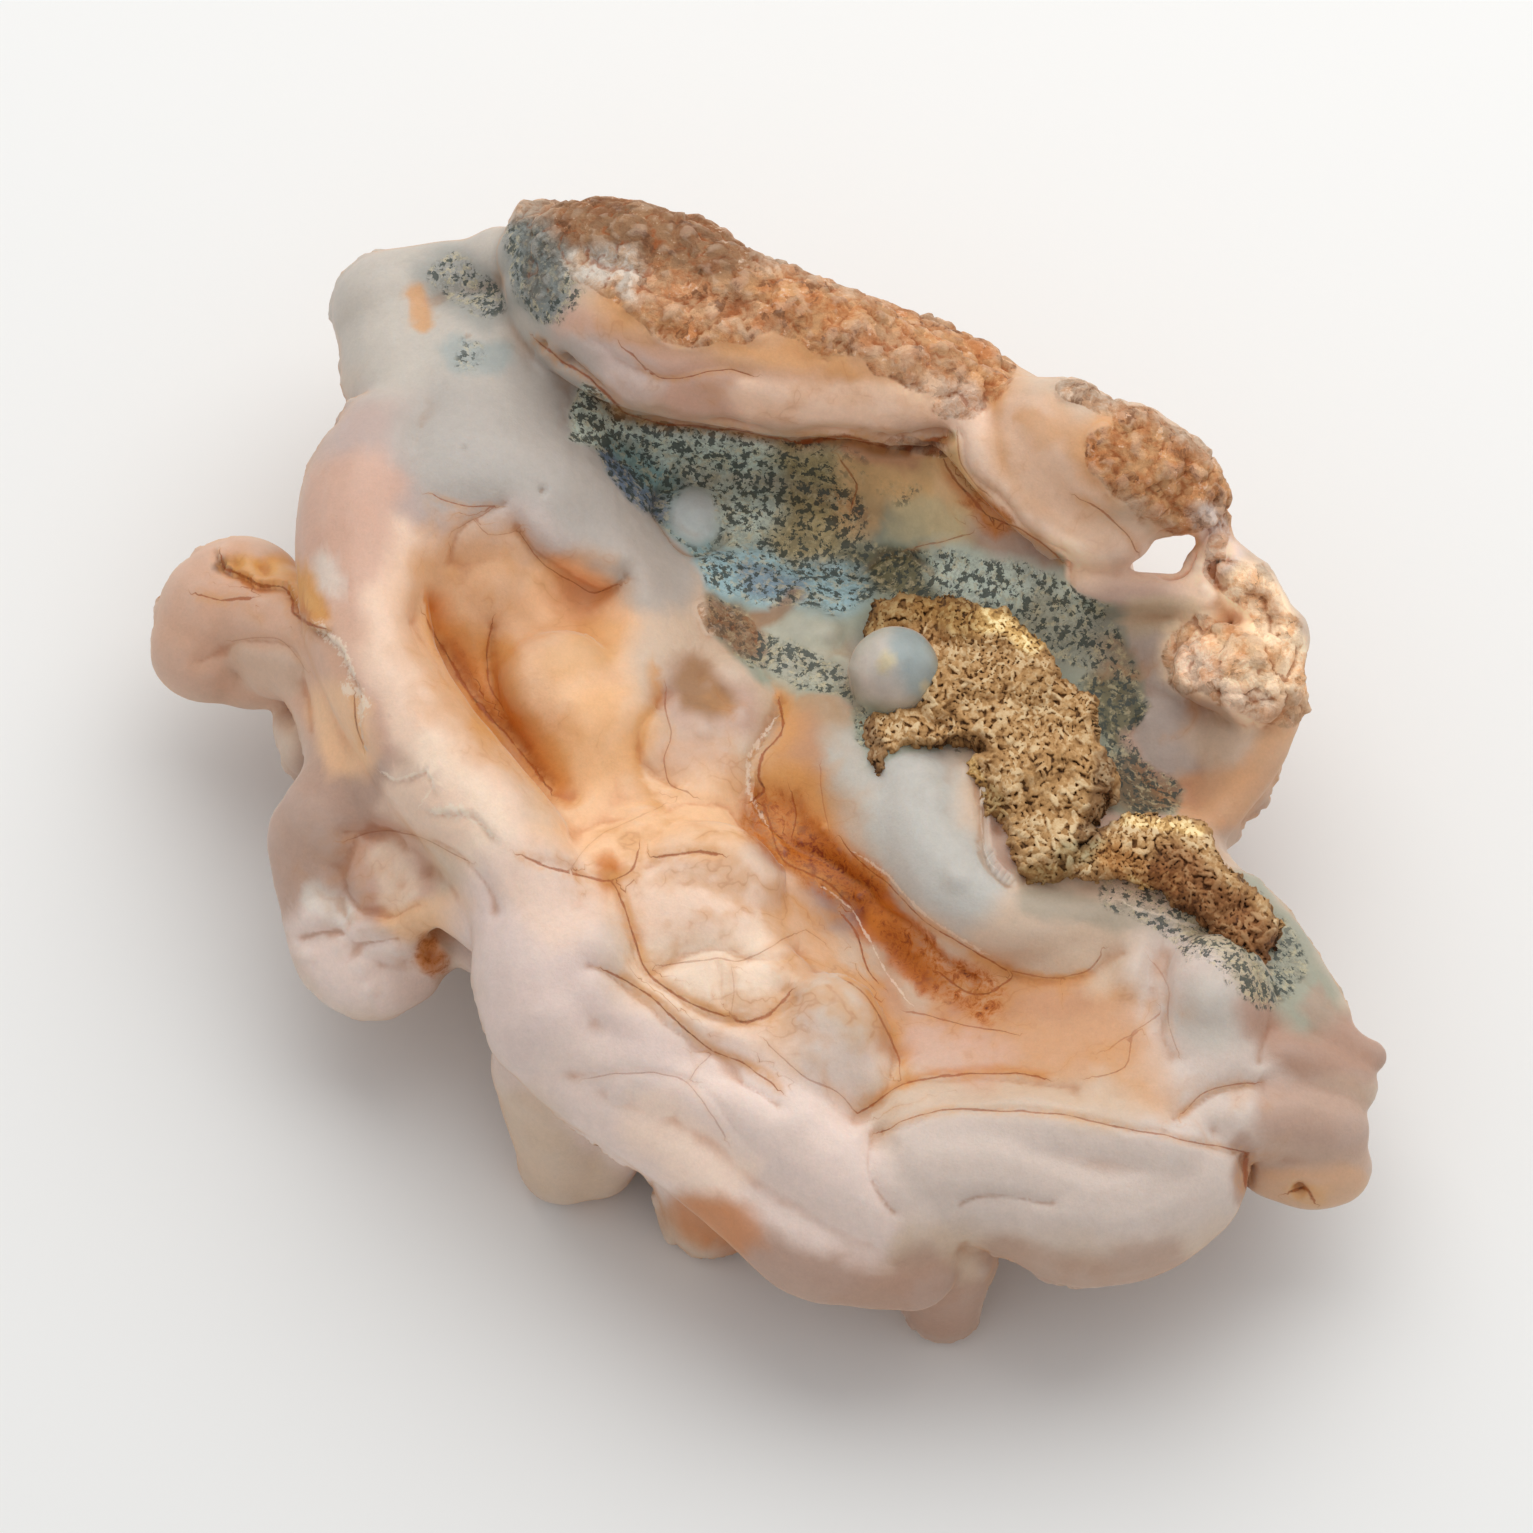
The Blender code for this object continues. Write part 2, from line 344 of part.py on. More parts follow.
def inside(across, down, outline):
    """Whether this place of the drawing is inside the outline."""
    crossings = 0
    for (a, b), (c, d) in zip(outline, outline[1:] + outline[:1]):
        if (b > down) != (d > down) and across < a + (down - b) * (c - a) / (d - b):
            crossings += 1
    return crossings % 2 == 1


def distance_to_line(places, line):
    """The distance of each place to the line through the given points."""
    nearest = np.full(len(places), 1e9)
    line = np.array(line, float)
    for a, b in zip(line, line[1:]):
        along = np.clip(((places - a) @ (b - a)) / ((b - a) @ (b - a)), 0, 1)
        nearest = np.minimum(nearest, np.linalg.norm(places - a - along[:, None] * (b - a), axis=1))
    return nearest


def add_sheet(bm):
    """The sheet, thickened downward."""
    across = np.arange(30, 140, GRID_STEP)
    down = np.arange(22, 130, GRID_STEP)
    places = np.array([(a, d) for d in down for a in across])
    edge = distance_to_line(places, SHEET_EDGE + SHEET_EDGE[:1])
    width, sinking = MARGIN
    heights = sheet_heights(places) - sinking * np.clip(1 - edge / width, 0, 1) ** 2
    corners = [bm.verts.new(at(a, d, h)) for (a, d), h in zip(places, heights)]
    faces = []
    for j in range(len(down) - 1):
        for i in range(len(across) - 1):
            if inside(across[i] + GRID_STEP / 2, down[j] + GRID_STEP / 2, SHEET_EDGE):
                k = j * len(across) + i
                square = [corners[k + step] for step in (0, len(across), len(across) + 1, 1)]
                faces.append(bm.faces.new(square))
    for corner in corners:
        if not corner.link_faces:
            bm.verts.remove(corner)
    made = bmesh.ops.extrude_face_region(bm, geom=faces, use_keep_orig=True)
    lower = [g for g in made["geom"] if isinstance(g, bmesh.types.BMVert)]
    bmesh.ops.translate(bm, verts=lower, vec=(0, 0, -SHEET_THICKNESS))
    bmesh.ops.recalc_face_normals(bm, faces=bm.faces)


def mesh_object(name, bm):
    """A new object with this mesh, in metres, its footprint centred on the origin."""
    bmesh.ops.translate(bm, verts=bm.verts, vec=FOOTPRINT_SHIFT)
    bmesh.ops.scale(bm, verts=bm.verts, vec=(MM, MM, MM))
    mesh = bpy.data.meshes.new(name)
    bm.to_mesh(mesh)
    bm.free()
    obj = bpy.data.objects.new(name, mesh)
    bpy.context.scene.collection.objects.link(obj)
    return obj


def settle(obj):
    """Makes the result of the object's modifiers its own mesh."""
    graph = bpy.context.evaluated_depsgraph_get()
    mesh = bpy.data.meshes.new_from_object(obj.evaluated_get(graph))
    obj.modifiers.clear()
    obj.data = mesh


def fuse(obj, voxel, smoothing):
    """Joins the overlapping lobes in one closed skin, and softens the creases between them."""
    remesh = obj.modifiers.new("fuse", "REMESH")
    remesh.mode = "VOXEL"
    remesh.voxel_size = voxel * MM
    soften = obj.modifiers.new("soften", "SMOOTH")
    soften.factor = 0.5
    soften.iterations = smoothing
    settle(obj)


def points_of(mesh):
    """The places of the mesh, in millimetres, and its normals."""
    points = np.empty(3 * len(mesh.vertices))
    normals = np.empty(3 * len(mesh.vertices))
    mesh.vertices.foreach_get("co", points)
    mesh.vertices.foreach_get("normal", normals)
    return points.reshape(-1, 3) / MM, normals.reshape(-1, 3)


def on_drawing(points):
    """Where points of the finished stone lie on the drawing."""
    x, y, z = (points - np.array(FOOTPRINT_SHIFT)).T
    down = SHEET_MIDDLE - y * math.sin(VIEW_TILT) - z * math.cos(VIEW_TILT)
    return np.column_stack([x + SHEET_MIDDLE, down])


def press_creases(obj):
    """Presses the creases into the face that the drawing shows."""
    points, normals = points_of(obj.data)
    places = on_drawing(points)
    facing = normals @ np.array([0, -math.cos(VIEW_TILT), math.sin(VIEW_TILT)])
    depth = np.zeros(len(points))
    for reach, how_deep, line in CREASES:
        away = 1 - np.minimum(distance_to_line(places, line) / reach, 1)
        depth = np.maximum(depth, how_deep * away ** 2.2)
    depth *= np.clip(facing * 2, 0, 1) * (points[:, 2] > 12)
    points -= normals * depth[:, None]
    obj.data.vertices.foreach_set("co", (points * MM).ravel())
    obj.data.update()


def keep_largest(obj):
    """Keeps the largest of the separate pieces of the skin."""
    bm = bmesh.new()
    bm.from_mesh(obj.data)
    left = set(bm.verts)
    pieces = []
    while left:
        piece = {left.pop()}
        front = list(piece)
        while front:
            corner = front.pop()
            near = {edge.other_vert(corner) for edge in corner.link_edges} - piece
            piece |= near
            front += near
        left -= piece
        pieces.append(piece)
    largest = max(pieces, key=len)
    bmesh.ops.delete(bm, geom=[v for v in bm.verts if v not in largest], context="VERTS")
    bm.to_mesh(obj.data)
    bm.free()


def thin_out(obj, faces):
    """Brings the skin down to about this many triangles."""
    decimate = obj.modifiers.new("thin out", "DECIMATE")
    decimate.ratio = faces / sum(len(p.vertices) - 2 for p in obj.data.polygons)
    settle(obj)


def stand_flat(obj):
    """Cuts the feet flat, level with the table."""
    bm = bmesh.new()
    bm.from_mesh(obj.data)
    everything = bm.verts[:] + bm.edges[:] + bm.faces[:]
    cut = bmesh.ops.bisect_plane(
        bm, geom=everything, dist=1e-6, plane_co=(0, 0, 0), plane_no=(0, 0, 1), clear_inner=True
    )
    rim = [g for g in cut["geom_cut"] if isinstance(g, bmesh.types.BMEdge)]
    bmesh.ops.triangle_fill(bm, use_beauty=True, edges=rim)
    bmesh.ops.recalc_face_normals(bm, faces=bm.faces)
    bmesh.ops.triangulate(bm, faces=bm.faces)
    bm.to_mesh(obj.data)
    bm.free()


def finish(obj, colour, roughness):
    """The surface's colour and shading."""
    material = bpy.data.materials.new(obj.name)
    material.use_nodes = True
    shader = material.node_tree.nodes["Principled BSDF"]
    shader.inputs["Base Color"].default_value = (*colour, 1)
    shader.inputs["Roughness"].default_value = roughness
    obj.data.materials.append(material)
    obj.data.shade_smooth()


def make_stone():
    bm = bmesh.new()
    add_sheet(bm)
    for beads in ROLLS.values():
        add_roll(bm, beads, at)
    for beads in FEET.values():
        add_roll(bm, beads, lambda x, y, z: Vector((x, y, z)))
    for lobe in LOBES.values():
        add_lobe(bm, *lobe)
    for x, y, z, *radii in BODY:
        add_ball(bm, Vector((x, y, z)), radii)
    for x, y, z, radius in UNDER:
        add_ball(bm, Vector((x, y, z)), [radius] * 3)
    stone = mesh_object("chalcedony", bm)
    fuse(stone, LOBE_VOXEL, 12)
    press_creases(stone)
    thin_out(stone, STONE_FACES)
    stand_flat(stone)
    finish(stone, (0.78, 0.62, 0.54), 0.35)
    return stone


def make_crust(stone):
    bm = bmesh.new()
    for lump in CRUST:
        add_lobe(bm, *lump)
    crust = mesh_object("matrix_crust", bm)
    fuse(crust, CRUST_VOXEL, 2)

    bed = bpy.data.objects.new("bed of the crust", stone.data.copy())
    bpy.context.scene.collection.objects.link(bed)
    points, normals = points_of(bed.data)
    bed.data.vertices.foreach_set("co", ((points + normals * CRUST_CLEARANCE) * MM).ravel())
    fuse(bed, CRUST_VOXEL, 0)
    cut = crust.modifiers.new("cut to the bed", "BOOLEAN")
    cut.operation = "DIFFERENCE"
    cut.solver = "EXACT"
    cut.object = bed
    settle(crust)
    bpy.data.objects.remove(bed)
    keep_largest(crust)
    thin_out(crust, CRUST_FACES)
    finish(crust, (0.42, 0.28, 0.13), 0.9)
    return crust


for old in list(bpy.data.objects):
    bpy.data.objects.remove(old)
BALL = unit_ball()
make_crust(make_stone())
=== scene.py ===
"""A plate of botryoidal chalcedony on a pale table: waxy lobes and rolls round a stained hollow, a speckled
blue-green cavity under a rough ridge, and a remnant of sandy host rock.

Places on the stone are given on a square drawing of it, which shows it from its front and from above: the
distance across and down that drawing and the height above the table, all in millimetres.
"""
import math

import bpy
import numpy as np
from mathutils import Matrix, Vector


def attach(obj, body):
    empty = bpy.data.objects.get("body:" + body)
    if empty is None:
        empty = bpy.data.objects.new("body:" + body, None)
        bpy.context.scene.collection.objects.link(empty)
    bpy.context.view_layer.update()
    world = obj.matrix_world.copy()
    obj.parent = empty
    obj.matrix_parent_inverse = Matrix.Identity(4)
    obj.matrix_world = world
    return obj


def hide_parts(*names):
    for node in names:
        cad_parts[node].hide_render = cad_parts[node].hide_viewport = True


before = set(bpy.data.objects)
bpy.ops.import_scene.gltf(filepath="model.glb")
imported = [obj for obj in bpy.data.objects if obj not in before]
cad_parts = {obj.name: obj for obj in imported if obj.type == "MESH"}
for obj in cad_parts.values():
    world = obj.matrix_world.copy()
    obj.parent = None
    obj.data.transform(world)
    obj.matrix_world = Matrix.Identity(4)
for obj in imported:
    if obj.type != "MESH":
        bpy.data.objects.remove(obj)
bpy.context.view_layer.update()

# The drawing: its middle, how steeply it looks down, and where its middle lies on the table.
MM = 0.001
DRAWING_MIDDLE = 76.65
VIEW_TILT = math.radians(60)
FOOTPRINT_SHIFT = Vector((0.0, 12.5, 0.0))
VIEW = np.array([0, -math.cos(VIEW_TILT), math.sin(VIEW_TILT)])

# How finely the stone is made: the voxels that fuse its lobes, and its triangles in all and out of sight.
LOBE_VOXEL = 0.42
STONE_FACES = 190000
HIDDEN_FACES = 45000

# The upper face is a grid over this part of the drawing; its edge sinks by so much over this width.
SHEET_ACROSS, SHEET_DOWN = (30, 140), (22, 130)
SHEET_THICKNESS = 7
SHEET_STIFFNESS = 1.5
MARGIN_WIDTH, MARGIN_SINKING = 3, 3

# The relief: what share of the drawn depth of creases and steps is cut, and how the seams are scored.
CREASE_SHARE = 0.5
STEP_SHARE = 0.6
SEAM_REACH, SEAM_DEPTH = 0.9, 0.05
LOWEST_RELIEF = 12
RIND_BLOCK, RIND_CHUNK = 3.2, 1.5
WAVE_SIZE, RIPPLE_SIZE = 6.5, 2.4

# The masks: how far from a crack its stain can reach, and what is kept where no crack is near.
CRACK_REACH = 2.5
NO_CRACK = 9.0
HOLLOW_ROUNDS, FULL_HOLLOW = 14, 0.25

# The crust is a grid over this part of the drawing, with chips of two sizes and a wall of grainy rings below.
CRUST_ACROSS, CRUST_DOWN = (84, 130), (57, 99)
CRUST_STEP = 0.1
BIG_CHIP, SMALL_CHIP = 0.58, 0.3
CRUST_RINGS = 14
CRUST_DROP = 2

# Random numbers: how many a table holds, what finds a cell's own, and how far finer noise is moved aside.
DICE = 4096
CELL_KEYS = np.array([73856093, 19349663, 83492791])
FINER_SHIFT = 37.7
FAR = 99.0

# The light and the camera, in metres and watts.
ROOM_COLOUR, ROOM_LIGHT = (0.97, 0.98, 1, 1), 0.6
LAMP_PLACE, LAMP_SIZE = (0.09, 0.32, 0.52), 0.9
LAMP_POWER, LAMP_COLOUR = 3.0, (1, 0.985, 0.96)
LAMP_TARGET = Vector((0, 0, 0.01))
LENS, SENSOR_WIDTH, CAMERA_DISTANCE = 1000, 36, 4.27
TABLE_SIZE, TABLE_COLOUR = 60, (0.86, 0.86, 0.845, 1)

# Colours of the stone's finest marks.
DEEP_RUST = (0.1, 0.022, 0.006, 1)
SPECK = (0.04, 0.052, 0.044, 1)
SPECK_DUST = (0.07, 0.08, 0.055, 1)
FLAKED_EDGE = (0.9, 0.75, 0.6, 1)

# The broad upper face from which the lobes swell, as places it passes through: (across, down, height).
SHEET = [
    # top left lobe and the plateau below it
    (37, 31, 27), (42, 29, 29), (47, 27.5, 30), (51, 27, 31), (36, 36, 28.5), (41, 35, 31), (46, 34, 31.5),
    (50, 33, 31), (53.5, 35, 30.5), (38.5, 40.5, 32), (43, 40, 34), (48, 39, 34), (53, 39, 32),
    (57, 41, 29.5), (36.5, 46, 34), (41, 46, 37), (46, 45, 37.5), (51, 45, 36.5), (56, 46, 34),
    (60, 47.5, 31), (63.5, 50, 28), (34.5, 52, 34), (39, 52, 37), (44, 51, 36.5), (49, 51, 35.5),
    (54, 52, 34.5), (59, 53, 32), (64, 55, 29.5), (68, 58, 27),
    # left rim and the stained basin inside it
    (37, 58, 35), (38, 66, 36), (41, 72, 36), (46, 78, 36), (51, 83, 36), (53, 88, 35), (42.5, 58, 34),
    (42.8, 63, 31), (45.5, 67, 28.5), (48.5, 71.5, 27.5), (52, 75.5, 27.5), (54.5, 78, 29.5), (47, 58, 31),
    (49, 62, 30.5), (48, 56, 32.5), (49.5, 66, 28), (53.5, 66, 30), (56, 69.5, 32), (56, 73, 30.5),
    (60, 67, 30), (58.5, 60.5, 25), (56, 59, 27.6), (61, 61.5, 27.2), (64, 60, 29.5), (64.5, 66, 30),
    (62.5, 73.5, 31), (66, 70, 28.5), (58, 77, 30.5), (62, 79, 29.5), (52, 54.5, 33), (57, 55.5, 32),
    (61, 56.5, 31),
    # milky pillows and the clear slab
    (69, 62, 27), (69.5, 67, 27.5), (69, 74.5, 29), (73, 70, 27.5), (74, 75.5, 28), (72, 79, 29),
    (78, 71.5, 26), (83, 70, 26.5), (86.5, 72, 26.5), (80, 77, 26.8), (84.5, 80, 28), (78.5, 83, 24.6),
    (83, 86, 25), (87, 85, 28), (90, 90, 27.4), (94, 95, 26.5), (88, 76, 28),
    # stained channel
    (77, 81, 24.5), (84, 91, 23), (90, 95.5, 22.5), (96.5, 99.5, 23.5),
    # centre pillows
    (60, 83.5, 32.5), (66, 82, 31), (71, 82.5, 30), (58, 88, 34), (64.5, 88, 33), (70, 89, 33.5),
    (75, 90, 31.5), (81, 93, 27), (79, 98, 30), (84, 98.5, 27.5), (88, 101, 26), (83, 103, 31.5),
    (88, 106, 29), (92, 104.5, 26.5), (64, 95, 32.5), (69.5, 96.5, 32), (76, 96, 31.5), (62, 98.5, 33),
    (68, 102, 31.5), (74.5, 101, 31), (79, 105.5, 31), (86, 109.5, 28), (74, 106.5, 29.5),
    # front rolls
    (56.5, 97, 33.5), (60, 101.5, 32.5), (54, 101, 31), (60, 105, 29.5), (66, 105, 30.5), (70, 109.5, 28),
    (76, 110, 28.5), (81, 114, 26.5), (86, 113.5, 27), (92, 111.5, 28), (100, 110, 28.5), (108, 111, 28.5),
    (116, 111, 28), (94, 115, 25), (102, 115, 25), (110, 115, 25), (96, 104.5, 26), (102, 101, 26),
    (107, 102, 27), (112, 103.5, 27.5), (103, 106, 28),
    # lower right dome and arms
    (115, 97.5, 28), (121, 101, 29.5), (121, 95.5, 28.5), (127, 98, 26.5), (127, 104, 26.5),
    (132, 104.5, 23.5), (118, 106.5, 28), (123.5, 110, 26.5), (129.5, 110, 24),
    # bed of the crust
    (90, 77, 27.5), (95, 80, 29.5), (95, 86, 29.5), (100, 84, 29.5), (101, 91, 29), (110, 92, 29),
    (92, 62.5, 23.5), (98, 66, 24.5), (95, 73, 25.5), (101, 76, 27), (105, 81, 28), (111, 85, 28),
    (118, 87, 27.5), (123, 91, 26),
    # dark cavity and the wall behind it
    (56, 35.5, 31), (62, 36, 31.5), (70, 37.5, 31.5), (80, 39.5, 31.5), (90, 41.5, 32), (98, 45, 32.5),
    (61, 41.5, 28), (63, 45, 25), (67, 49, 22.5), (71, 52.5, 21), (66, 43.5, 27), (73, 45, 26.5),
    (81, 46, 26.5), (88, 47, 27.5), (69, 47, 23), (75, 48.5, 22), (82, 50, 22), (76, 53, 20),
    (82, 54.5, 20.5), (88, 54, 22.5), (94, 49, 30), (99, 50.5, 31), (103, 53.5, 30.5), (95, 55, 26),
    (101, 58, 27), (106, 57, 29.5), (71, 55.5, 25), (76, 57.5, 24.5), (81, 59.5, 24), (86, 61, 23.5),
    (73.5, 61.5, 24.5), (79, 64.5, 25), (84.5, 65.5, 24), (76, 67.5, 25),
    # right bowl
    (110, 60.5, 28.5), (117, 60.5, 29), (123, 62, 29), (108, 65, 25), (113, 66, 24), (112, 73, 22),
    (117, 77, 20.5), (118.6, 81, 20), (119, 70, 23.5), (124, 75.5, 24.5), (127.4, 70, 26.5),
    (121.6, 80.4, 21.6), (120, 65, 27), (110, 78, 23.5),
]

# The outline of the upper face on the drawing.
SHEET_EDGE = [
    (40, 31), (46, 28.5), (52, 27), (60, 32), (70, 34), (80, 37), (90, 40), (98, 43.5), (104, 47.5),
    (110, 52), (110.5, 58), (122, 61), (126.8, 65), (128.8, 70), (127.2, 75.6), (124, 80), (121.4, 83.6),
    (125, 88), (128.6, 93), (131.4, 98.5), (135, 104.5), (134, 112), (125, 112.5), (116, 116), (108, 117),
    (98, 115.5), (91, 117), (84, 117), (77, 113), (69, 110.5), (60, 104.5), (54.5, 98), (54, 91), (49, 81),
    (43.5, 73.6), (38.6, 66.5), (37.4, 58), (38, 50), (39.5, 45), (41, 41), (40.5, 36),
]

# Each roll is a round tube that swells and thins along its way: (across, down, height, radius).
ROLLS = [
    # top left lobe and its flank
    [(39.5, 31.3, 23, 6.6), (43.5, 29.5, 24, 5.7), (47.5, 27.8, 26, 4.4), (50, 26, 28.5, 3.6)],
    [(40, 32, 22, 6.6), (40.5, 37.5, 24.5, 6.4), (41.5, 42, 27, 6.2), (39.5, 45.5, 29, 6.4)],
    # left rim
    [
        (39.5, 45, 29, 6.4), (37.5, 50, 30.5, 7.6), (36.6, 58, 31, 6.9), (37.8, 66, 32, 6.3),
        (41.8, 73.4, 32.5, 6.2), (47.2, 80.3, 32.2, 6.4), (51.8, 86.4, 31, 6.6), (53.5, 92, 29.5, 6.4),
        (54, 97, 28.5, 6.8), (55, 102, 27.5, 6.4),
    ],
    # left knob, its toe, arm and fold, and the small lobe behind it
    [(24, 60.6, 17, 7.1), (22, 62.6, 16.5, 7), (20.7, 64.8, 15.5, 5.7)],
    [(21.5, 65, 14.5, 4.6), (25, 66.3, 14.5, 4.8), (28, 66, 16, 4.6)],
    [(25, 61.5, 18, 6), (30, 63.5, 22, 6), (35, 65.5, 27, 5.6)],
    [(27.5, 66.5, 19, 3.4), (31, 67.5, 22, 3.8), (33.4, 71.5, 24, 3.8), (34.5, 75.5, 25, 4)],
    [(29.8, 72.5, 13, 2.6), (31, 75, 18, 3)],
    # neck and web between the knobs
    [(36, 68, 27, 5.4), (35.8, 75.5, 25.5, 4.6), (33.6, 82, 22.5, 5.6)],
    [(39, 72, 28, 5), (40, 77.5, 27, 5.4), (44, 81, 28, 4.6), (48, 85, 29, 4.4)],
    [(34.5, 80.6, 24, 3.4), (39.5, 79.8, 26, 3.4), (44.5, 81.9, 27.5, 3.4), (48.4, 86, 28.5, 3.6)],
    # lower knob with its lobes, toe and arm
    [(32.5, 84, 20, 5.8), (32.6, 88, 18, 5.2), (33.5, 92, 16.5, 4.6)],
    [(31.6, 91.5, 16.5, 3.4), (33.4, 96, 15, 3.8), (37.2, 98.2, 14.5, 4.1), (40.6, 96.6, 14, 4)],
    [(37, 93.5, 16, 4.2), (41, 95, 14.5, 4), (43.6, 94.4, 15.5, 3.3)],
    [
        (36.5, 92.6, 19.5, 2.6), (39.4, 93.6, 20, 2.6), (41.4, 91.4, 22.5, 2.5), (44.6, 90, 25.5, 2.8),
        (49, 92, 27, 3.6),
    ],
    # front dome and front rolls
    [
        (55, 100, 27.5, 6.6), (56.5, 103, 26.5, 5.6), (59.5, 104.5, 26.5, 5), (63, 106, 26.5, 4.6),
        (67, 108, 26, 4.2),
    ],
    [
        (55.5, 105.5, 24.5, 4.2), (58, 107.7, 24, 4.3), (63, 111, 22.5, 4.5), (69.5, 115.2, 21, 4.7),
        (75.5, 119.8, 19.5, 5), (81, 124, 18, 5.4), (86, 125.5, 17, 5), (91, 126, 16.5, 4.8),
    ],
    [
        (70.5, 110, 25.2, 4), (75, 111.5, 25, 5), (80, 114.6, 24.3, 5.6), (86, 118.2, 22.5, 6),
        (91, 121, 20.5, 5.6),
    ],
    [
        (92.5, 117, 22, 6.6), (98, 117, 22, 7.2), (103, 118.5, 21, 7.5), (108.5, 120.6, 20, 7.7),
        (114, 119.8, 20, 7.3), (118, 117.8, 20.5, 6.3),
    ],
    [(91, 114, 24.5, 4), (99, 113, 25, 4.6), (107, 113.5, 25, 5), (116, 115, 24, 5)],
    # white roll
    [
        (91.2, 79.8, 24.8, 4.6), (92.3, 84.8, 25.6, 5.2), (95.4, 89.4, 26, 5.5), (100.5, 92.2, 26, 5),
        (106, 92.8, 25.8, 4.4), (111, 92, 25.4, 4),
    ],
    # right edge and the arms
    [
        (118.5, 88.5, 22, 3.4), (123.5, 90.5, 22, 3.4), (127, 93.8, 21.5, 3.2), (129.8, 98, 21, 3),
        (132, 102, 20.5, 3),
    ],
    [(126, 99.5, 23, 3.4), (130.5, 102.6, 21.5, 3.2), (134.8, 105.2, 20.5, 2.6), (136.6, 105.4, 19.5, 2)],
    [(126, 105.5, 23.5, 3.6), (131, 107, 21.5, 3.4), (134.6, 108.4, 20, 3)],
    [(123, 112, 23, 4), (128, 111.8, 21, 4), (132.6, 112.8, 19, 4)],
    [(127, 116, 16.5, 3.6), (130.5, 116.8, 16, 3.9), (132.9, 116.4, 16, 3.9)],
    # ridge
    [
        (54, 25.5, 33, 4.4), (57, 26.6, 34.5, 6.2), (62, 27.4, 36, 7), (67, 28.8, 37, 7.2),
        (72, 31.4, 38, 6.8), (78, 34.2, 38, 7.2), (84, 36.2, 38, 7.2), (90, 38.3, 37.5, 5.9),
        (95.5, 39.4, 37, 3.9), (98.6, 39.4, 36.5, 2),
    ],
    [
        (55, 28.5, 33.5, 4.6), (60, 31.5, 36, 6), (66, 33.4, 37.5, 6.6), (73, 35.4, 38, 6.8),
        (80, 37, 38, 6.6), (87, 38.6, 37.5, 5.6),
    ],
    [(66, 24.6, 37.5, 3.4), (70, 26, 38.5, 3.8), (72.6, 28.6, 39, 3)],
    [(52.6, 22.4, 33, 1.7), (54, 22, 33.5, 2.2), (57, 23.5, 33.5, 3)],
    [(52.8, 26, 31, 2.6), (53.3, 30, 31.5, 2.8), (56.5, 33.6, 33, 3.4)],
    [
        (56.6, 33.4, 33, 3.6), (60.5, 35.8, 34.5, 4.2), (65, 37.1, 36, 4.5), (70.5, 38, 36.5, 4.6),
        (76, 38.7, 36.5, 4.8), (81, 39.2, 36.5, 4.6), (86, 39.2, 36.3, 4.6), (90.5, 40.3, 36, 4.4),
        (94.5, 40, 36, 4),
    ],
    # trailing roll, tongue and the far lump
    [
        (94.5, 40.4, 36.2, 3.4), (97.6, 44.5, 36, 3.1), (101.3, 49.2, 35, 3), (105.8, 52.4, 34, 3.2),
        (110, 54, 33, 3.2), (112.4, 53.6, 31.5, 2.8),
    ],
    [(99, 40.8, 35.5, 3), (102.5, 44, 35.5, 5), (106, 48, 35, 5.4), (110.5, 51, 34, 4.4)],
    [
        (102.4, 41.8, 37, 4), (105, 43, 37.5, 5.4), (109.5, 46, 37.5, 6.2), (114.5, 47.4, 36.5, 6.2),
        (118.4, 49.2, 36, 4.2),
    ],
    [(111, 50.6, 35, 3.8), (116, 50.6, 34.5, 3.4), (119.8, 51.2, 34, 2.2)],
    # chain of beads, the curl beside it, the ledge and the far right rim
    [
        (120.6, 51.6, 33, 1.9), (121.3, 53.5, 32, 1.8), (122.6, 55.6, 31, 2), (124.5, 58, 30, 2.6),
        (126.3, 61, 29, 2.6),
    ],
    [
        (122.2, 55.2, 31, 1.4), (120.6, 55.2, 30.7, 1.3), (119.4, 56.8, 30, 1.3), (119.8, 58.8, 29.5, 1.4),
        (121.5, 59.8, 29.5, 1.8),
    ],
    [
        (107.6, 55.6, 29.8, 2.2), (108, 57.6, 29, 2.4), (111, 59.2, 28.6, 2.2), (116, 59.4, 28.6, 2.2),
        (121, 60.4, 28.6, 2.4),
    ],
    [(124.6, 59.6, 28.6, 2.7), (126.6, 62.6, 27.8, 2.6), (127.6, 66, 27, 2.6), (128.4, 69, 26, 2.4)],
    [(120.6, 67, 27, 3.2), (124, 68.6, 27, 3.6), (127.2, 69.4, 26, 3.2)],
    [(128.6, 70.5, 24.5, 1.9), (126.6, 75.6, 22.5, 1.9), (123.6, 79.6, 20.5, 1.9), (121.4, 82.4, 19.5, 1.9)],
    # back wall
    [
        (60, 35.5, 20, 7), (70, 37.8, 19, 7), (79, 39.4, 19, 7.5), (88, 41, 19, 7.5), (97, 44, 20, 7.5),
        (105, 48, 21, 6.5),
    ],
    [
        (60, 30, 28, 6.5), (66, 32.6, 29, 6.5), (76, 35, 29, 7), (86, 37, 29, 7), (96, 40.4, 29, 6.5),
        (104, 45, 29, 6),
    ],
]

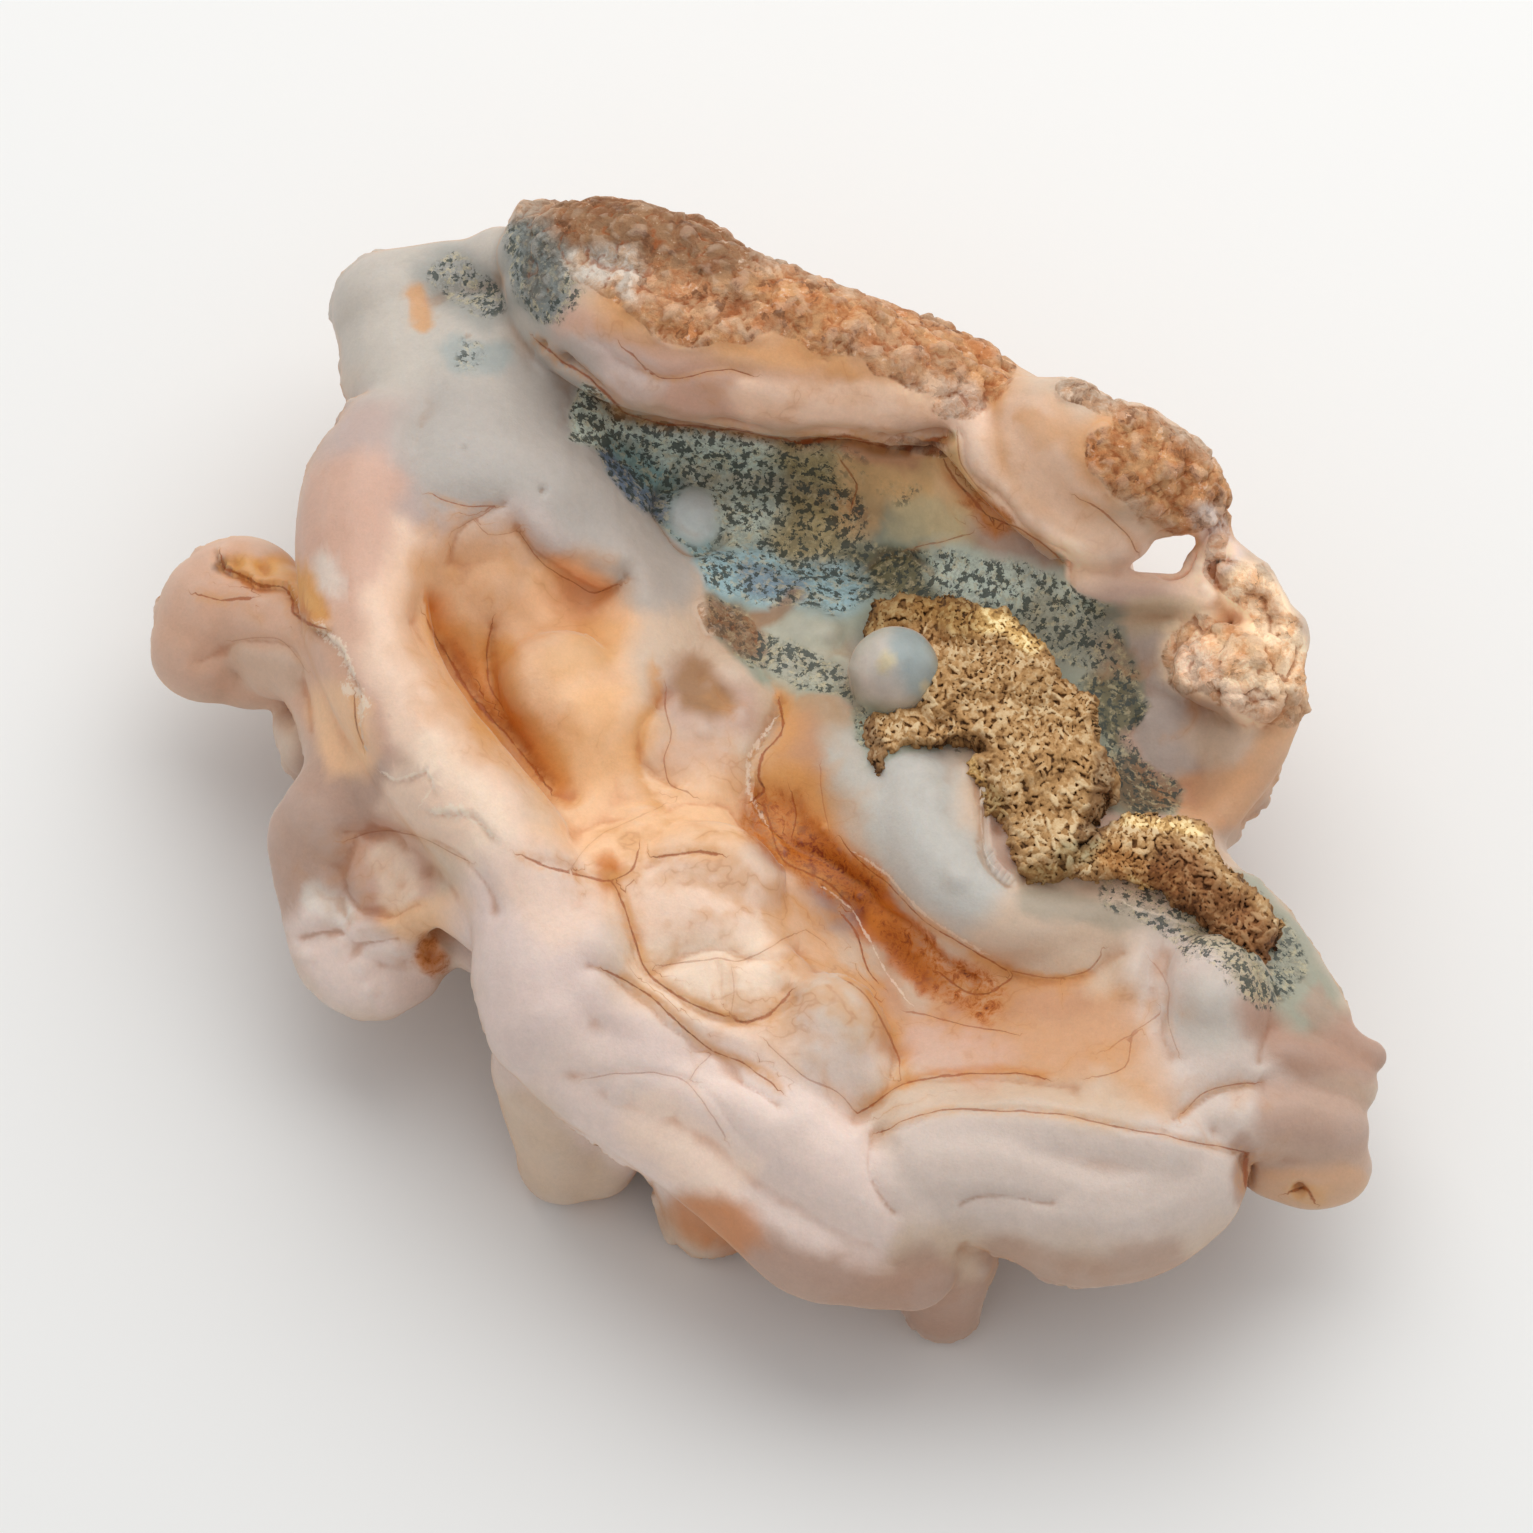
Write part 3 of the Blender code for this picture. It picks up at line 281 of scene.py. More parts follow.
# Single lobes: (across, down, height, half width, half length down the drawing, half depth, turn in degrees).
LOBES = [
    (56, 69.5, 27, 6.6, 6.4, 5.2, 0),
    (62, 74, 26.5, 5.4, 5.4, 5, 20),
    (48.6, 59.8, 27.2, 5.4, 6.4, 4.6, -20),
    (58.5, 98.5, 28.6, 7.6, 8.4, 6.2, 40),
    (79, 113.4, 24.2, 9.6, 5.8, 6.2, -38),
    (39.5, 88, 17.5, 5.4, 4.4, 4, 0),
    (70.5, 89, 28.5, 8, 7, 5.2, 0),
    (64.5, 84, 28, 5.4, 4, 4, 0),
    (76.5, 97.5, 28, 5, 4, 4, -20),
    (83, 104, 27, 6, 7, 5.2, 25),
    (68.5, 97.3, 28, 3.6, 3, 4, 20),
    (69.5, 75, 24.8, 4.6, 4.8, 4, 0),
    (72.4, 69.5, 23.5, 4.6, 4, 4, 0),
    (121, 101.2, 25.4, 6.6, 8, 5.4, 0),
    (113.5, 99.5, 24.6, 3, 6, 4, 10),
    (89.3, 67.2, 28, 4.7, 4.7, 4.7, 0),
    (89.3, 69, 23, 4.4, 4.4, 4, 0),
    (69.6, 52, 21.5, 3.5, 3.4, 3.4, 0),
    (80.3, 64.8, 21.5, 5, 4.4, 4, 0),
    # the clear slab runs into the white roll
    (89, 79, 23.4, 6.5, 6.5, 4.6, 0), (97, 93, 23, 7, 4, 4, -20),
    # the pocket of the lower knob is nearly full
    (39.6, 87.6, 21, 6.4, 5.4, 4.4, 0), (44, 87, 23.4, 4.4, 4, 3.6, 0), (42.6, 94.6, 17.4, 3, 3, 3, 0),
    # the crumbly lump of the far right rim
    (123.6, 66.8, 27.6, 6.2, 4.2, 4, 15), (127.6, 64, 27.4, 3.4, 3.6, 3.4, 0),
]

# The body that carries the lobes, as flat ellipsoids: (x, y, z, half width, half depth, half height).
BODY = [
    (-20, -6, 17, 24, 30, 7), (10, -14, 14, 34, 30, 7), (-2, 16, 15, 34, 16, 8), (5, -38, 17, 30, 16, 6),
    (30, -31, 15, 20, 19, 7), (-34, 10, 22, 9, 18, 7), (22, 12, 14, 15, 16, 7), (41, -6, 17, 8.5, 9, 6),
]

# The round lobes under the body: (x, y, height, radius).
UNDER = [
    (-30, -14, 17, 9), (-22, -26, 15, 8.5), (-20, -38, 14, 6), (-10, -18, 14, 10.5), (-15, -2, 15, 10),
    (-27, 4, 18, 9), (-10, -38, 13, 8), (2, -28, 13, 9.5), (4, -10, 14, 11), (-2, 8, 14, 10),
    (14, -38, 13, 8.5), (16, -20, 13, 9), (20, -4, 14, 10.5), (28, -14, 15, 8), (30, -30, 14, 9),
    (26, -44, 14, 7.5), (40, -36, 15, 7), (39, -22, 16, 7.5), (14, 10, 14, 9), (-14, 14, 16, 9),
    (-30, 20, 18, 8), (10, -52, 14, 7), (34, 0, 16, 7), (0, -46, 15, 7.5), (16, 24, 15, 8), (-6, 22, 13, 8),
    (-35, -2, 19, 6), (-34, 32, 20, 5.5), (-20, 34, 22, 7),
]

# The lobes under the stone, which it stands on: (x, y, height, radius).
FEET = [
    [(-19.8, -44, 17, 7.6), (-19.8, -46.4, 9, 6.2), (-20, -47.4, 4.4, 5)],
    [(-15.4, -45.5, 18, 5), (-16.2, -47, 9, 5), (-17, -47.8, 4.4, 4.2)],
    [(-6, -48, 17, 7.6), (-5.9, -52.2, 9, 5.8), (-5.6, -53.6, 4.4, 4.8)],
    [(17, -58, 19, 6.6), (17.8, -62.8, 12, 5.2), (17.6, -63.6, 3.6, 4.1)],
    [(-22, 18, 17, 10), (-23, 22, 9, 7.6), (-24, 24, 4.5, 6)],
    [(23, 8, 16, 9), (26, 10, 9, 7.4), (27, 12, 4.6, 6)],
    [(-8, 28, 10, 9), (-6, 31, 24, 8), (14, 28, 22, 9), (14, 24, 10, 9)],
]

# Creases between the lobes, which round off on both sides: (reach, depth, the line on the drawing).
CREASES = [
    # rim fold and the folds of the stained basin
    (4.0, 2.4, [(42.4, 62), (44.6, 65.8), (47.2, 69.3), (50.4, 73.2), (54.5, 77.8), (57, 79)]),
    (3.0, 2.0, [(49, 63), (49, 69), (50.5, 72.5), (53, 75)]),
    (1.6, 0.9, [(45.5, 56), (46, 53.5), (50, 51)]),
    (2.6, 2.2, [(51.5, 53), (54.5, 56.5), (59, 59.2), (62.5, 58)]),
    (3.0, 1.6, [(66.5, 70), (65, 72), (64.3, 74.5), (65.5, 77), (67.5, 78.5)]),
    # centre pillows
    (1.4, 0.7, [(54, 86), (58, 87), (61.3, 87.4), (65, 86.5), (68, 85), (72, 85)]),
    (4.0, 1.7, [(61.5, 87.8), (63, 91), (64, 95), (65.3, 96.8)]),
    (3.6, 1.7, [(58, 83), (62, 81.5), (67, 80.5), (72, 80.5), (75.5, 82.5)]),
    (4.0, 1.7, [(65.3, 96.8), (70, 94.8), (75, 95.5), (80, 95)]),
    (3.0, 1.6, [(65, 97.2), (69, 100.3), (72, 101.4), (75.5, 101.4), (79, 99)]),
    (3.0, 1.2, [(71, 95), (72, 97.5), (72.4, 100)]),
    (4.0, 2.0, [(90, 105), (88.5, 108), (86, 111)]),
    (4.0, 2.0, [
        (59.5, 96.5), (62, 97.5), (65, 100.5), (69, 104.5), (71.3, 105.2), (74, 107.5), (77.5, 109.5),
    ]),
    # front rolls
    (1.6, 0.5, [(57.5, 107.5), (63, 106.8), (69, 107.6), (72, 111), (76, 115.5)]),
    (0.9, 1.6, [(122.6, 56.4), (121.2, 56.8), (121.2, 58.2), (122.4, 58.8)]),
    (4.0, 1.8, [(86, 111), (90, 108), (95, 107.3), (100.5, 107), (107, 108)]),
    (0.8, 0.6, [(88, 113), (95, 110.5), (105, 111), (115, 113), (124, 114.8)]),
    (1.6, 1.0, [(96, 120), (100, 118.8), (104.5, 119.7)]),
    (3.0, 1.6, [(87, 113), (86.8, 117), (89, 121)]),
    # white roll and lower right dome
    (3.0, 1.6, [(100, 97), (107.5, 97.5), (111.5, 94.5)]),
    (3.5, 1.8, [(117, 111), (122, 108.5), (126, 107.8)]),
    (3.5, 1.4, [(116, 95), (115.5, 100), (117, 105)]),
    (3.5, 1.4, [(126, 96), (127, 101), (125.5, 106)]),
    (1.2, 1.6, [(124, 115), (124, 118)]),
    # edge of the clear slab
    (1.6, 1.4, [(78, 70.5), (75.8, 76), (76, 80), (79, 84.2), (84, 87), (88.6, 91), (93, 95), (97, 97.6)]),
    # left knobs
    (2.4, 1.4, [(35, 83.5), (40, 83), (45, 85), (49, 89), (49.7, 90.5)]),
    (2.4, 1.2, [(20, 66), (24, 64), (28, 64.5), (30, 67), (31, 73)]),
    (2.2, 1.6, [(30.5, 94), (34, 93.2), (36, 94.6), (39.6, 94.4)]),
    (2, 1.2, [(34.6, 89.6), (35, 92), (34.4, 93.2)]),
    (2.4, 1.4, [(36, 83.6), (34.8, 86.6), (35.6, 90), (38.6, 91.4), (42, 90.6)]),
    # ridge, and where it and the trailing roll overhang the cavity
    (1.6, 0.6, [(59, 34.5), (63, 37), (67, 38), (71, 37), (75, 37.6)]),
    (1.6, 2.4, [(56, 36), (60, 39.3), (62.2, 41.1), (65.4, 42.2), (69.2, 42.6), (74.4, 43.2), (78.8, 44)]),
    (1.8, 2.8, [(78.8, 44), (84.6, 43.7), (87.8, 44.6), (90.4, 44.6), (94.2, 43.9)]),
    (1.6, 1.2, [
        (95.6, 43.4), (96.2, 46.8), (98.5, 49.5), (101.3, 52.4), (104.9, 54.8), (106.4, 55.8), (107, 58.6),
    ]),
    (1.4, 1.6, [(66.4, 49.2), (66.2, 51.6), (67.4, 54), (70, 55.2), (72.6, 53.8)]),
    (1.2, 1.4, [(85.6, 57.6), (88.4, 55.4), (90.8, 55.4), (93, 57.3)]),
]

# Hairline cracks and seams with their stain, with a few dark lines of painted shade under the ridge's lip and
# in a gap by the arms: (half width of the line, strength, the line on the drawing).
SEAMS = [
    (0.16, 0.9, [(52.5, 85.5), (55.2, 86.7), (58.4, 87.4), (61.2, 88), (63.3, 86.8), (63.8, 85.2)]),
    (0.2, 1.0, [(65.6, 85.7), (67.9, 85.4), (69.9, 85.1), (71.7, 85.3)]),
    (0.14, 0.9, [
        (61.2, 88), (62.5, 90.4), (63.8, 94.7), (64.8, 97), (66.3, 98.3), (69.4, 100.3), (73, 101.6),
    ]),
    (0.2, 0.9, [(73, 101.6), (75, 101.9), (77, 101.1), (78.8, 99.3)]),
    (0.1, 0.5, [(66.3, 96.5), (69.4, 95.9), (71.9, 95.7), (74, 96), (77, 94.5), (79.3, 93.4)]),
    (0.08, 0.3, [(73.1, 96.2), (73.5, 99.3), (73, 101.6)]),
    (0.13, 0.9, [
        (60.7, 96.9), (62.8, 98), (65.8, 100), (68.9, 103), (71.4, 104.9), (74, 105.8), (75.8, 107),
        (77.6, 108.5),
    ]),
    (0.09, 0.4, [(59.2, 107.5), (63.3, 107), (66.8, 107.2), (68.9, 108.1), (71.2, 111), (72.5, 113.3)]),
    (0.08, 0.4, [(68.9, 108.1), (69.6, 106.7), (71.4, 104.9)]),
    (0.1, 0.5, [(76.8, 104.2), (80.1, 107.2), (83.2, 108.7), (85.7, 111)]),
    (0.13, 0.9, [(85.7, 111), (87.5, 110), (90, 108.2), (94, 107.4), (100.5, 107), (104, 107.4)]),
    (0.11, 0.8, [
        (88, 112.8), (91, 111.5), (95, 110.6), (100, 110.7), (105, 111), (110, 112), (115, 113), (124, 114.8),
    ]),
    (0.09, 0.5, [(80.6, 92.9), (82.4, 94.2)]),
    (0.12, 0.8, [(84.7, 98), (86.5, 99.3), (88.3, 102.4), (89.6, 105), (90, 107.6)]),
    (0.12, 1.0, [(84.2, 91.4), (85.7, 93.4), (86.7, 96.8), (87.8, 98.3)]),
    (0.2, 1.0, [(76.4, 80.3), (77, 82.4), (78.3, 85.9), (80.6, 87.1), (82.7, 88.2), (84.7, 90.2)]),
    (0.12, 0.9, [
        (84.2, 84), (86.2, 86.4), (88.8, 88.4), (91.9, 91.7), (95.2, 93.8), (97.7, 95.3), (100.5, 96.8),
    ]),
    (0.1, 0.6, [(100.5, 96.8), (104.6, 97.6), (108.2, 97.1), (109.7, 95.5)]),
    (0.14, 0.9, [(93.9, 97.3), (97.7, 99.4), (101, 97.6)]),
    (0.1, 0.7, [(91.1, 100.9), (94.4, 101.8), (98.2, 102.7), (101, 103.1)]),
    (0.1, 0.5, [(110.5, 104.8), (113, 103), (115.5, 101.4)]),
    (0.12, 0.6, [(113, 103), (112, 106.5), (109, 107.4)]),
    (0.1, 0.5, [(105.9, 97.6), (106, 99.5)]),
    (0.1, 0.7, [(118, 111), (119.6, 109.2), (122, 108.4), (125, 108)]),
    (0.09, 0.35, [(115, 96), (116.5, 98.5), (116.5, 102), (117.5, 105)]),
    # a thick dark line for the gap by the low foot of the arms: painted shade
    (0.4, 1.0, [(124.1, 115), (124.2, 118)]),
    (0.2, 0.9, [(128.6, 118.9), (130, 118.5), (130.8, 119.4)]),
    # basin
    (0.2, 1.0, [(42.8, 62), (43.5, 63.4), (45.6, 67), (47.3, 69.6), (50.3, 73), (53, 76.3), (55, 78.8)]),
    (0.13, 0.8, [(49.2, 62.6), (48.8, 66), (49, 68.5), (50.4, 70.8)]),
    (0.1, 0.8, [(43.5, 49.7), (46.5, 50.7), (49.6, 50.7)]),
    (0.09, 0.5, [(45, 54.8), (45.3, 53.3), (47.7, 52), (49.6, 50.7)]),
    (0.08, 0.5, [(47.7, 52.3), (49, 53.6), (50.8, 53.5), (51.9, 53)]),
    (0.1, 0.7, [(51.9, 53.2), (54.3, 56.4), (57, 58), (59, 59.3), (60.5, 59), (61.8, 58.5)]),
    (0.1, 0.6, [(66.6, 69.2), (66.7, 71.5), (67.2, 73.5), (66.5, 76), (67, 78.2), (69, 79.3)]),
    (0.07, 0.3, [(57, 87), (60, 83.5), (64, 81.7), (66.5, 80.5)]),
    # clear slab
    (0.2, 1.0, [(77.8, 70.3), (78.3, 73.1), (76.3, 75.4), (75.9, 77.7), (76.5, 79), (75.6, 79.8)]),
    (0.14, 1.0, [(79.2, 79.4), (79.6, 81.5), (79.3, 83.5)]),
    (0.08, 0.4, [(82, 77), (82.2, 80), (82.8, 83)]),
    # knobs
    (0.2, 1.0, [
        (22.2, 55.9), (22.5, 56.9), (23.5, 57.2), (24.4, 57.6), (26.1, 58.5), (28.5, 58.8), (29.4, 60.2),
    ]),
    (0.2, 1.0, [(29.4, 60.2), (29.5, 61.3), (31, 62.4), (32.4, 62.9)]),
    (0.16, 0.9, [(20, 59.5), (22.2, 60), (24.9, 59.8)]),
    (0.09, 0.35, [(23.4, 64.1), (26.1, 63.7), (28.3, 64.1), (29.8, 65.6), (30.7, 67)]),
    (0.14, 0.8, [(35.6, 69.9), (35.9, 72.1), (36.5, 74.5)]),
    (0.09, 0.5, [(34.8, 84), (38.2, 83.1), (41.9, 83.5), (45, 85), (47, 86)]),
    # ridge
    # the dark lines along the ridge's lower lip are partly crack, partly painted shadow under the lip
    (0.2, 1.0, [(53.9, 34.2), (56, 36), (58.5, 37.6), (60.6, 39.4), (62.2, 41.1)]),
    (0.16, 0.8, [(62.2, 41.1), (65.4, 42.2), (69.2, 42.6), (74.4, 43.2), (78.8, 44)]),
    (0.3, 1.0, [(80, 44.2), (84.6, 43.8), (87.8, 44.6), (90.4, 44.6), (94.2, 43.9)]),
    (0.1, 0.6, [(95.8, 44), (96.2, 46.8), (98.5, 49.5)]),
    (0.1, 0.7, [(62.2, 34.8), (64.4, 36.6), (66, 38)]),
    (0.09, 0.9, [(63, 35.1), (65.2, 37.6), (67.3, 38), (69.8, 37.6), (72.5, 37.1), (75, 37.6)]),
    (0.12, 0.9, [(98.5, 51.5), (101, 52.5), (104, 54.3), (106, 56)]),
    (0.12, 0.8, [(84, 46), (85.6, 48.4), (85.2, 50.4)]), (0.1, 0.7, [(91.4, 54.7), (94, 54.2), (96.3, 53.5)]),
    (0.16, 0.9, [(93.6, 44.4), (95.2, 47.6), (97.2, 50), (99.6, 52.6)]),
    (0.12, 0.8, [(113.5, 55), (112.5, 53.5), (110.5, 51.5), (108, 50)]),
]

# Chipped white edges, where a shell of the stone has broken off: (half width, strength, line).
CHIPS = [
    (0.12, 0.45, [(98, 79), (98.2, 84.3), (99, 86.4)]),
    (0.8, 1.0, [(32.4, 62.9), (34.6, 65.1), (35.3, 67), (35.1, 69), (36.5, 69.5), (36.5, 71.4)]),
    (0.22, 0.9, [(38.7, 77.4), (40.2, 77.9), (42.8, 77), (43.6, 78.4), (42.6, 79.9)]),
    (1, 1.0, [(44.2, 81.1), (45.8, 80.9), (47.2, 81.8)]),
    (0.3, 1.0, [(47.2, 81.8), (48.2, 82.6), (49.6, 83.5)]),
    (0.35, 0.8, [(77.2, 72.3), (75, 75.6), (74.8, 78.2), (75.5, 80.2), (76.4, 82)]),
    (0.16, 0.8, [(82.6, 88.8), (84.9, 90.6), (86, 92.2), (88.5, 97), (90.5, 99.8)]),
    (0.22, 0.8, [(86, 85.5), (88.8, 87.6), (91.9, 91), (95.4, 93.4), (98, 95)]),
    (0.25, 0.7, [(112.5, 90.5), (116, 91.5), (119, 92.5)]),
]

# The colours of the stone, as red, green and blue from 0 to 255.
HUES = {
    "flesh": (208, 166, 140), "putty": (190, 181, 170), "rose": (208, 190, 182), "milk": (204, 200, 196),
    "blush": (206, 166, 145), "cream": (232, 200, 176), "ivory": (240, 214, 190),
    "peach": (236, 190, 148), "tan": (210, 162, 122), "clay": (192, 140, 104), "honey": (208, 146, 82),
    "amber": (198, 116, 40), "burnt": (158, 78, 20), "umber": (88, 54, 32), "bark": (158, 118, 84),
    "lichen": (132, 136, 132), "chalk": (222, 214, 202), "lilac": (196, 164, 146), "moss": (152, 156, 138),
    "teal": (122, 158, 160), "slate": (146, 160, 160), "pine": (112, 106, 78), "storm": (146, 142, 126),
    "sky": (190, 194, 190), "celadon": (176, 174, 156), "taupe": (178, 146, 114), "mist": (208, 190, 178),
    "sand": (206, 180, 156), "shade": (176, 140, 120), "plum": (160, 138, 130), "mauve": (218, 196, 186),
    "shell": (228, 206, 194), "rock": (214, 158, 108), "glass": (184, 176, 164), "frost": (186, 182, 174),
    "haze": (176, 168, 160), "petal": (184, 160, 150), "coral": (226, 174, 124), "dusk": (186, 154, 136),
    "brass": (216, 160, 96), "hay": (216, 176, 124), "straw": (206, 190, 150), "sage": (152, 156, 142),
    # smoke is the brown of a painted shadow beside the crust's right wall
    "indigo": (98, 108, 136), "ice": (160, 190, 196), "khaki": (166, 150, 110), "painted shadow brown": (112, 90, 66),
    # gleam, brighter than white, is a painted highlight for the edges of the crust
    "stone": (198, 208, 194), "russet": (122, 46, 6), "reed": (160, 158, 140), "painted gleam": (284, 290, 270),
    "plain": (224, 216, 206), "bright": (282, 246, 204), "warm white": (262, 226, 196),
}

